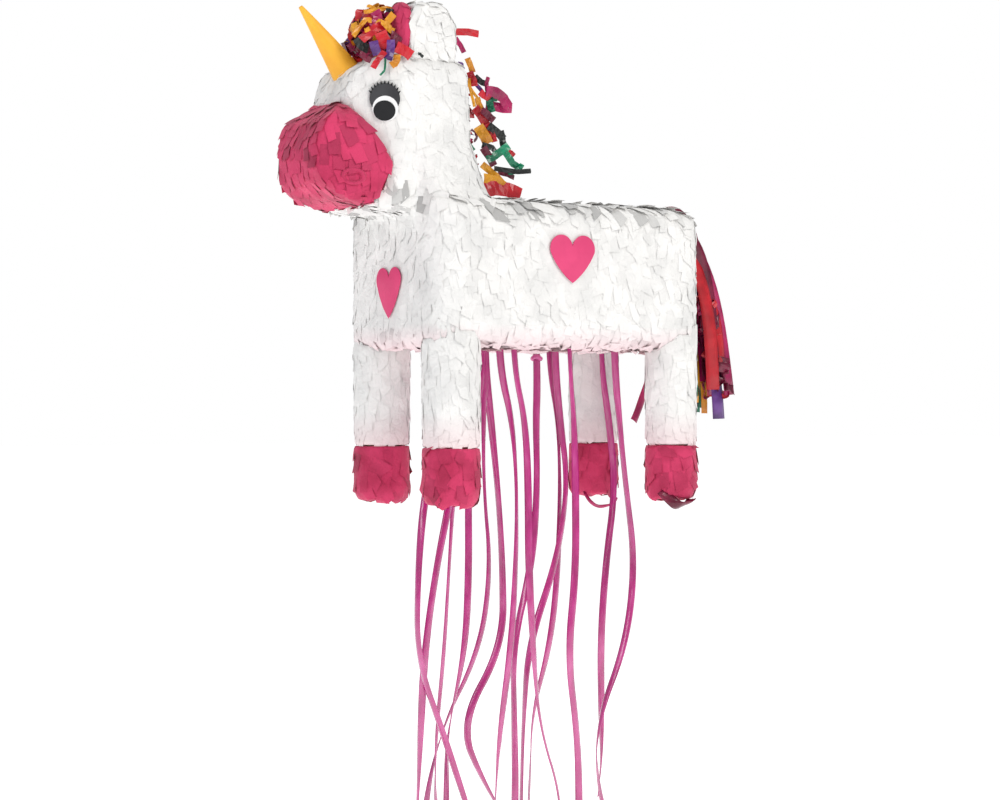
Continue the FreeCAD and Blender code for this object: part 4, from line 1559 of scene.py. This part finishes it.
# Strips that lie on the forelock, laid out in the same way.
FORELOCK_STRIPS = (
    (Strip.GOLD, -30, 4.3, ((-225, 192), (-212, 195), (-198, 199), (-188, 198))),
    (Strip.MAGENTA, -32, 10.8, ((-213, 194), (-209, 188), (-212, 181), (-218, 177))),
    (Strip.GOLD, -44, 7.6, ((-197, 191), (-202, 185), (-207, 180), (-213, 181))),
    (Strip.GOLD, -46, 6.5, ((-210, 180), (-205, 176), (-202, 173), (-198, 172))),
    (Strip.GOLD, -34, 5.4, ((-218, 183), (-225, 184), (-231, 177), (-240, 165))),
    (Strip.GOLD, -44, 4.3, ((-232, 170), (-229, 171), (-228, 172), (-226, 173))),
    (Strip.DARK, -38, 4.3, ((-203, 195), (-199, 195), (-197, 195), (-193, 194))),
    (Strip.RED, -40, 9.7, ((-234, 161), (-225, 168), (-216, 175), (-207, 179))),
    (Strip.DARK, -36, 9.7, ((-237, 163), (-233, 158), (-229, 154), (-223, 153))),
    (Strip.PURPLE, -50, 9.7, ((-225, 159), (-224, 155), (-222, 150), (-220, 145))),
    (Strip.RED, -52, 13.0, ((-218, 169), (-215, 163), (-212, 158), (-211, 152))),
    (Strip.PURPLE, -62, 8.6, ((-211, 160), (-211, 154), (-212, 147), (-215, 139))),
    (Strip.PLUM, -50, 8.6, ((-204, 168), (-200, 167), (-197, 164), (-193, 161))),
    (Strip.RED, -63, 6.5, ((-219, 147), (-225, 140), (-229, 135), (-233, 129))),
    (Strip.GOLD, -64, 7.6, ((-205, 145), (-205, 140), (-207, 136), (-212, 133))),
    (Strip.RED, -64, 11.9, ((-206, 153), (-200, 151), (-194, 149), (-188, 145))),
    (Strip.GREEN, -64, 2.2, ((-219, 140), (-219, 132), (-220, 127), (-225, 122))),
    (Strip.PLUM, -50, 6.5, ((-241, 145), (-237, 143), (-233, 140), (-228, 139))),
    (Strip.DARK, -65, 3.2, ((-180, 148), (-178, 148), (-177, 147), (-174, 145))),
)


# Strips that hang by the tail and under the hooves: colour, width in millimetres, twist in turns, curl
# across, and four guide points in millimetres.
TAIL_STRIPS = (
    (Strip.PLUM, 11, 0.04, 0.1, ((158, -20, -4), (182, -22, 14), (212, -22, 6), (219, -22, -44))),
    (Strip.PLUM, 18, 0.04, 0.1, ((166, -18, -14), (212, -22, 0), (236, -22, -60), (240, -22, -130))),
    (Strip.MAGENTA, 13, 0.03, 0.1, ((168, -16, -16), (220, -20, -4), (256, -20, -80), (270, -20, -206))),
    (Strip.RED, 15, 0.05, 0.12, ((168, -14, -20), (216, -24, -12), (238, -26, -90), (241, -26, -200))),
    (Strip.RED, 14, -0.04, 0.12, ((168, -12, -18), (224, -20, -16), (254, -22, -100), (256, -22, -176))),
    (Strip.PURPLE, 17, 0.02, 0.1, ((168, -8, -18), (222, -12, -20), (256, -14, -110), (259, -14, -234))),
    (Strip.MAGENTA, 9, 0.03, 0.15, ((180, 4, -100), (176, 4, -160), (168, 2, -205), (146, 0, -236))),
)
HOOF_STRIPS = (
    (Strip.PLUM, 12, 0.3, 0.15, ((118, -90, -312), (126, -102, -330), (142, -104, -334), (152, -98, -320))),
    (Strip.MAGENTA, 4, 0.1, 0.15, ((120, 60, -318), (124, 58, -338), (156, 58, -344), (164, 60, -326))),
)

FLAT_FACING = (-0.5, -0.86, 0.0)
StripRow = tuple[Strip, int, float, tuple[tuple[int, int], ...]]


def flat_strips(table: Sequence[StripRow]) -> list[Lock]:
    """Lay out the strips of a table.

    Args:
        table: MANE_STRIPS or FORELOCK_STRIPS.

    Returns:
        The strips.
    """
    locks = []
    for colour, depth, width, guide in table:
        points = tuple((x / MM_PER_M, depth / MM_PER_M, z / MM_PER_M) for x, z in guide)
        locks.append(Lock(colour, points, width / MM_PER_M, 0.02, 0.03, FLAT_FACING))
    return locks


def bent_strips(table: Sequence[tuple[Strip, float, float, float, tuple[Point, ...]]]) -> list[Lock]:
    """Lay out the strips of a table with whole guide points.

    Args:
        table: TAIL_STRIPS or HOOF_STRIPS.

    Returns:
        The strips.
    """
    return [Lock(colour, tuple(tuple(c / MM_PER_M for c in point) for point in guide), width / MM_PER_M,
                 twist, cup) for colour, width, twist, cup, guide in table]


def forelock() -> Hair:
    """Crumpled curls of foil between the horn and the ears.

    Returns:
        The forelock.
    """
    mixed = (*[Strip.RED] * 3, *[Strip.MAGENTA] * 2, Strip.GOLD, Strip.PURPLE, Strip.PLUM)
    locks = flakes(mixed, lambda share: (-0.197, -0.008, 0.167), (0.027, 0.034, 0.034), 170,
                   (0.012, 0.021), 71, 0.7)
    locks += flakes((Strip.GOLD, Strip.GOLD, Strip.MAGENTA), lambda share: (-0.200, -0.012, 0.176),
                    (0.025, 0.026, 0.029), 26, (0.010, 0.016), 77, 0.8)
    locks += flakes((Strip.DARK, Strip.PLUM), lambda share: (-0.196, -0.004, 0.163),
                    (0.018, 0.024, 0.024), 50, (0.012, 0.018), 72, 0.4)
    locks += flat_strips(FORELOCK_STRIPS)
    return Hair("forelock", ("forelock",), locks, rows=6, columns=2, wave=0.0003, folded=True)


def mane() -> Hair:
    """Loose strips along the crest of the neck.

    Returns:
        The mane.
    """
    mixed = (Strip.RED, Strip.MAGENTA, Strip.GOLD, Strip.PURPLE, Strip.PLUM, Strip.DARK, Strip.GREEN,
             Strip.RED)

    def crest_line(share: float) -> Point:
        """Give a point on the crest, from the poll down to the back."""
        return -0.098 + 0.022 * share, 0.000, 0.146 - 0.136 * share

    locks = flakes(mixed, crest_line, (0.012, 0.018, 0.011), 110, (0.008, 0.015), 73, 0.6)
    locks += flat_strips(MANE_STRIPS)
    return Hair("mane", ("mane",), locks, rows=9, columns=2, wave=0.0003, folded=True)


def tail() -> Hair:
    """Broad strips that arch off the rump and hang down.

    Returns:
        The tail.
    """
    root = [(0.160, -0.008, -0.006), (0.168, 0.006, -0.020)]
    mixed = (Strip.RED, Strip.MAGENTA, Strip.PLUM, Strip.RED, Strip.PLUM)
    locks = spray(mixed, root, [(0.226, -0.010, -0.110), (0.262, 0.004, -0.150)], (0.030, 0.0, 0.036), 9,
                  (0.010, 0.016), 0.008, 75, 0.15)
    locks += spray(mixed, root, [(0.238, -0.012, -0.178), (0.266, 0.008, -0.215)], (0.030, 0.0, 0.040), 11,
                   (0.009, 0.014), 0.009, 79, 0.15)
    locks += spray((Strip.DARK, Strip.GREEN, Strip.GOLD, Strip.PURPLE), root,
                   [(0.230, 0.0, -0.200), (0.250, 0.012, -0.232)], (0.028, 0.0, 0.030), 9, (0.006, 0.010),
                   0.006, 76, 0.2)

    def fold_line(share: float) -> Point:
        """Give a point down the tail's front edge."""
        return 0.226 + 0.034 * share, -0.012, -0.070 - 0.135 * share

    locks += flakes(mixed, fold_line, (0.013, 0.016, 0.014), 26, (0.012, 0.022), 80, 0.5)
    locks += bent_strips(TAIL_STRIPS)
    return Hair("tail", ("tail",), locks)


def hoof_curls() -> Hair:
    """Loose ends of tissue under the rear hooves.

    Returns:
        The curls.
    """
    return Hair("hoof_curls", (), bent_strips(HOOF_STRIPS))


# ------------------------------------------------------------------ ribbons

# Each ribbon's length and the points of its line, from the belly down to the cut end, in millimetres.
RIBBON_LINES: dict[str, tuple[float, tuple[Point, ...]]] = {
    "decoy_ribbon_01": (548, ((-104, -31, -146.5), (-103, -31, -180), (-130, -31, -237), (-154, -34, -311),
        (-165, -39, -395), (-168, -42, -484), (-132, -38, -568), (-103, -31, -637), (-89, -28, -669))),
    "decoy_ribbon_02": (543, ((-86, -21, -146.5), (-85, -21, -180), (-98, -21, -236), (-114, -24, -310),
        (-137, -29, -394), (-153, -32, -482), (-155, -28, -566), (-155, -21, -644), (-154, -17, -681))),
    "decoy_ribbon_03": (539, ((-76, -11, -146.5), (-75, -11, -180), (-90, -11, -234), (-105, -14, -308),
        (-114, -19, -392), (-122, -22, -481), (-130, -18, -574), (-128, -11, -642), (-117, -7, -679))),
    "decoy_ribbon_04": (534, ((-53, 11, -146.5), (-52, 11, -180), (-62, 11, -232), (-73, 8, -306),
        (-75, 3, -399), (-82, 0, -488), (-103, 4, -572), (-99, 11, -641), (-97, 15, -676))),
    "decoy_ribbon_05": (541, ((-43, 21, -146.5), (-42, 21, -180), (-45, 21, -231), (-46, 18, -314),
        (-40, 13, -398), (-56, 10, -486), (-104, 14, -570), (-118, 21, -640), (-119, 25, -673))),
    "decoy_ribbon_06": (550, ((-36, 31, -146.5), (-35, 31, -180), (-28, 31, -238), (-21, 28, -312),
        (-18, 23, -396), (-19, 20, -485), (-74, 24, -569), (-38, 31, -638), (-14, 34, -671))),
    "decoy_ribbon_07": (540, ((-66, -44, -146.5), (-65, -44, -180), (-49, -44, -236), (-45, -47, -310),
        (-50, -52, -394), (-59, -55, -484), (-70, -51, -568), (-71, -44, -636), (-73, -40, -683))),
    "decoy_ribbon_08": (542, ((-54, -54, -146.5), (-53, -54, -180), (-39, -54, -235), (-37, -57, -309),
        (-40, -62, -393), (-36, -65, -482), (-25, -61, -566), (8, -54, -644), (10, -50, -680))),
    "decoy_ribbon_09": (542, ((67, 44, -146.5), (68, 44, -180), (74, 44, -234), (83, 41, -308),
        (65, 36, -392), (23, 33, -489), (19, 37, -573), (21, 44, -642), (23, 48, -678))),
    "decoy_ribbon_10": (532, ((12, -64, -146.5), (13, -64, -180), (18, -64, -232), (18, -67, -306),
        (15, -72, -398), (2, -75, -488), (17, -71, -572), (25, -64, -640), (27, -60, -675))),
    "decoy_ribbon_11": (531, ((66, 54, -146.5), (67, 54, -180), (78, 54, -239), (79, 51, -313),
        (73, 46, -397), (61, 43, -486), (37, 47, -570), (39, 54, -639), (40, 58, -672))),
    "decoy_ribbon_12": (527, ((125, 34, -146.5), (126, 34, -180), (136, 34, -238), (143, 31, -312),
        (126, 26, -396), (116, 23, -484), (120, 27, -568), (125, 34, -638), (123, 37, -670))),
    "decoy_ribbon_13": (547, ((94, -34, -146.5), (95, -34, -180), (101, -34, -236), (108, -37, -310),
        (117, -42, -394), (103, -45, -483), (66, -41, -567), (69, -34, -636), (86, -30, -682))),
    "pull_ribbon": (524, ((12, 0, -160.5), (13, 0, -195), (11, 0, -240), (11, -3, -308), (1, -8, -392),
        (-27, -11, -482), (-22, -7, -574), (-16, 0, -643), (-15, 4, -680))),
}


@dataclass
class Ribbons:
    """Flat satin ribbons that hang from the belly, each along its own smooth line."""

    width: float = 0.008
    thickness: float = 0.0004
    columns: int = 4
    bow: float = 0.0011
    finish: SatinFinish = field(default_factory=SatinFinish)
    uv_per_metre: float = 10
    knot_radius: float = 0.0042
    knot_thickness: float = 0.0028
    knot_drop: float = 0.0045
    knot_ripple: float = 0.0012
    steps: int = 20

    def route(self, name: str) -> list[Point]:
        """Give a ribbon's guide points in metres.

        Args:
            name: The ribbon's node.

        Returns:
            The points, from the belly down.
        """
        return [tuple(c / MM_PER_M for c in point) for point in RIBBON_LINES[name][1]]

    def line(self, name: str) -> list[Vector]:
        """Read the points of a ribbon's spline.

        Args:
            name: The ribbon's node.

        Returns:
            Points along the spline, from the belly down.
        """
        curve = bpy.data.curves.new(f"{name}_line", "CURVE")
        curve.dimensions = "3D"
        curve.resolution_u = self.steps
        spline = curve.splines.new("NURBS")
        route = self.route(name)
        spline.points.add(len(route) - 1)
        for point, place in zip(spline.points, route):
            point.co = (*place, 1)
        spline.order_u = 3
        spline.use_endpoint_u = True
        holder = bpy.data.objects.new(f"{name}_line", curve)
        bpy.context.collection.objects.link(holder)
        mesh = bpy.data.meshes.new_from_object(holder)
        points = [vertex.co.copy() for vertex in mesh.vertices]
        bpy.data.objects.remove(holder)
        bpy.data.meshes.remove(mesh)
        return points

    def build_one(self, name: str, seed: int) -> None:
        """Build and dress one ribbon.

        Args:
            name: The ribbon's node.
            seed: Seed of its twist.
        """
        dice = random.Random(seed)
        points = self.line(name)
        phase = dice.uniform(-0.5, 0.5)
        turns = dice.uniform(0.08, 0.42) * dice.choice((-1, 1))
        sway = dice.uniform(0, 6)
        facing = Vector((-0.4, -1, 0))
        vertices, uvs, reach = [], [], 0.0
        for number, spot in enumerate(points):
            ahead = (points[min(number + 1, len(points) - 1)] - points[max(number - 1, 0)]).normalized()
            reach += (spot - points[number - 1]).length if number else 0.0
            facing = (facing - ahead * facing.dot(ahead)).normalized()
            share = number / (len(points) - 1)
            turn = phase + turns * math.tau * share * share + 0.45 * math.sin(9 * share + sway)
            normal = facing * math.cos(turn) + ahead.cross(facing) * math.sin(turn)
            across = ahead.cross(normal)
            for column in range(self.columns + 1):
                side = column / self.columns - 0.5
                vertices.append(spot + across * side * self.width + normal * self.bow * (1 - 4 * side * side))
                uvs.append((side + 0.5, reach))
        piece = from_arrays(f"{name}_satin", np.array(vertices), quads(len(points) - 1, self.columns))
        layer = piece.data.uv_layers.new(name="UVMap")
        for loop in piece.data.loops:
            across, along = uvs[loop.vertex_index]
            layer.data[loop.index].uv = (across, along * self.uv_per_metre)
        apply_modifier(piece, "SOLIDIFY", thickness=self.thickness, offset=0)
        pulls = name == "pull_ribbon"
        dress(piece, self.finish, "pull_ribbon" if pulls else ROOT, (name,))
        top = self.route(name)[0]
        extras = [self.knot(Vector(top))] if pulls else []

    def knot(self, top: Vector) -> bpy.types.Object:
        """Tie the pull ribbon in a flat knot under the trap door.

        Args:
            top: The ribbon's upper end.

        Returns:
            The knot.
        """
        clear_selection()
        bpy.ops.mesh.primitive_torus_add(major_segments=28, minor_segments=12, major_radius=self.knot_radius,
                                         minor_radius=self.knot_thickness,
                                         location=top - Vector((0, 0, self.knot_drop)))
        piece = settle(bpy.context.object, "pull_knot")
        for vertex in piece.data.vertices:
            angle = math.atan2(vertex.co.y - top.y, vertex.co.x - top.x)
            vertex.co.z += self.knot_ripple * math.sin(2 * angle)
        piece.data.shade_smooth()
        return dress(piece, self.finish, "trap_door")

    def build(self) -> None:
        """Build every ribbon."""
        for seed, name in enumerate(RIBBON_LINES, 81):
            self.build_one(name, seed)
        LOG.info("ribbons: %d", len(RIBBON_LINES))


# ------------------------------------------------------------------ frame, camera and studio

@dataclass
class CardFrame:
    """Finishes of the pieces that stay as the frame has them."""

    board_words: tuple[str, ...] = ("panel", "side", "tube", "box", "plate", "filler_flap", "trap_door")

    def dress(self) -> None:
        """Give the board, the eyelet and the tape their finishes."""
        for name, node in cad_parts.items():
            if name == "hanging_eyelet":
                finish = EYELET_PLASTIC
            elif name == "ribbon_tape":
                finish = TAPE_PAPER
            elif any(word in name for word in self.board_words):
                finish = BROWN_BOARD
            else:
                finish = WHITE_TISSUE
            for slot in node.material_slots:
                slot.material = MATERIALS.get(finish)


@dataclass
class Studio:
    """Camera, soft lights, pale floor and white surround."""

    aim: Point = (-0.0365, 0.0, -0.212)
    azimuth: float = -33.0
    distance: float = 2.4
    lens: float = 78.55
    floor_drop: float = 0.02
    floor_size: float = 40
    floor_glow: float = 0.8
    ambient: float = 0.36
    lamps: tuple[tuple[str, Point, float, float, Colour], ...] = (
        ("key", (0.5, -2.3, 1.7), 1.1, 36, (1.0, 0.97, 0.93)),
        ("fill", (-2.4, -1.0, 0.7), 1.0, 12, (0.96, 0.97, 1.0)),
        ("top", (-0.1, 0.2, 2.2), 1.2, 14, (1.0, 1.0, 1.0)),
    )

    def camera(self) -> None:
        """Place the level camera."""
        data = bpy.data.cameras.new("camera")
        data.lens = self.lens
        data.sensor_width = 36.0
        camera = bpy.data.objects.new("camera", data)
        turn = math.radians(self.azimuth)
        camera.location = Vector(self.aim) + Vector((math.sin(turn), -math.cos(turn), 0)) * self.distance
        camera.rotation_euler = (math.radians(90), 0, turn)
        bpy.context.collection.objects.link(camera)
        bpy.context.scene.camera = camera

    def lamp(self, name: str, place: Point, size: float, power: float, colour: Colour) -> None:
        """Add a soft square light that looks at the aim.

        Args:
            name: The light's name.
            place: Its place.
            size: Its side.
            power: Its power in watts.
            colour: Its colour.
        """
        data = bpy.data.lights.new(name, "AREA")
        data.size, data.energy, data.color = size, power, colour
        lamp = bpy.data.objects.new(name, data)
        lamp.location = place
        lamp.rotation_euler = (Vector(self.aim) - Vector(place)).to_track_quat("-Z", "Y").to_euler()
        bpy.context.collection.objects.link(lamp)

    def surround(self) -> None:
        """Light the room softly from all round, before a white ground."""
        world = bpy.data.worlds.new("studio")
        bpy.context.scene.world = world
        world.use_nodes = True
        tree = world.node_tree
        soft = tree.nodes["Background"]
        soft.inputs["Color"].default_value = (0.93, 0.96, 1.0, 1)
        soft.inputs["Strength"].default_value = self.ambient
        white = tree.nodes.new("ShaderNodeBackground")
        white.inputs["Color"].default_value = (1, 1, 1, 1)
        white.inputs["Strength"].default_value = 1.0
        path = tree.nodes.new("ShaderNodeLightPath")
        mix = tree.nodes.new("ShaderNodeMixShader")
        tree.links.new(path.outputs["Is Camera Ray"], mix.inputs[0])
        tree.links.new(soft.outputs[0], mix.inputs[1])
        tree.links.new(white.outputs[0], mix.inputs[2])
        tree.links.new(mix.outputs[0], tree.nodes["World Output"].inputs[0])

    def floor(self) -> None:
        """Lay the pale floor under the ribbons."""
        clear_selection()
        level = CAD_BOX[0][2] - self.floor_drop
        bpy.ops.mesh.primitive_plane_add(size=self.floor_size, location=(0, 0, level))
        floor = settle(bpy.context.object, "floor")
        nodes = Nodes("pale_floor")
        cloud = nodes.noise(nodes.place(), 2.0, 2)
        shade = nodes.ramp(cloud, [(0.3, (0.86, 0.86, 0.86)), (0.7, (0.9, 0.9, 0.9))])
        nodes.link(shade, nodes.surface.inputs["Base Color"])
        nodes.surface_values(Roughness=0.9, Specular_IOR_Level=0.0, Emission_Color=(1, 1, 1, 1),
                             Emission_Strength=self.floor_glow)
        floor.data.materials.append(nodes.material)

    def build(self) -> None:
        """Set up the studio."""
        self.camera()
        self.surround()
        self.floor()
        for lamp in self.lamps:
            self.lamp(*lamp)
        bpy.context.scene.view_settings.view_transform = "Standard"


# The pink low on the legs is painted reflected light from the pink hooves.
LEG_TISSUE = TissueFinish("leg_tissue", (0.86, 0.85, 0.83), (0.74, 0.735, 0.72), (0.84, 0.66, 0.67),
                          -0.225, 0.05)
PINK_PAPER = PaperFinish("pink_paper", (0.72, 0.060, 0.185), (0.66, 0.050, 0.165), 0.5, crease=0.0002,
                         specular=0.35)
YELLOW_PAPER = PaperFinish("yellow_paper", (0.93, 0.47, 0.035), (0.88, 0.41, 0.025), 0.5, crease=0.0004,
                           crease_scale=45)
WHITE_PRINT = PaperFinish("white_print", (0.85, 0.85, 0.85), (0.80, 0.80, 0.80), 0.5, crease=0.0002)
GREY_PRINT = PaperFinish("grey_print", (0.045, 0.045, 0.05), (0.03, 0.03, 0.034), 0.5, crease=0.0002)
BLACK_PRINT = PaperFinish("black_print", (0.008, 0.008, 0.01), (0.005, 0.005, 0.006), 0.45, crease=0.0002)
EYELET_PLASTIC = PaperFinish("eyelet_plastic", (0.75, 0.75, 0.74), (0.68, 0.68, 0.67), 0.3, crease=0.00005)
TAPE_PAPER = PaperFinish("tape_paper", (0.58, 0.42, 0.22), (0.50, 0.35, 0.18), 0.35, coat=0.4, crease=0.0002)
BROWN_BOARD = BoardFinish()


def main() -> None:
    """Build the studio, the ribbons and every sub-assembly in order."""
    for step in (Studio().build, CardFrame().dress, Ribbons().build, Cover().build, Horn().build,
                 Ears().build, Eye("left").build, Eye("right").build, MuzzleLines().build, Hearts().build,
                 forelock().build, mane().build, tail().build, hoof_curls().build):
        step()
        LOG.info("built %s", getattr(step, "__qualname__", step))


if __name__ == "__main__":
    main()
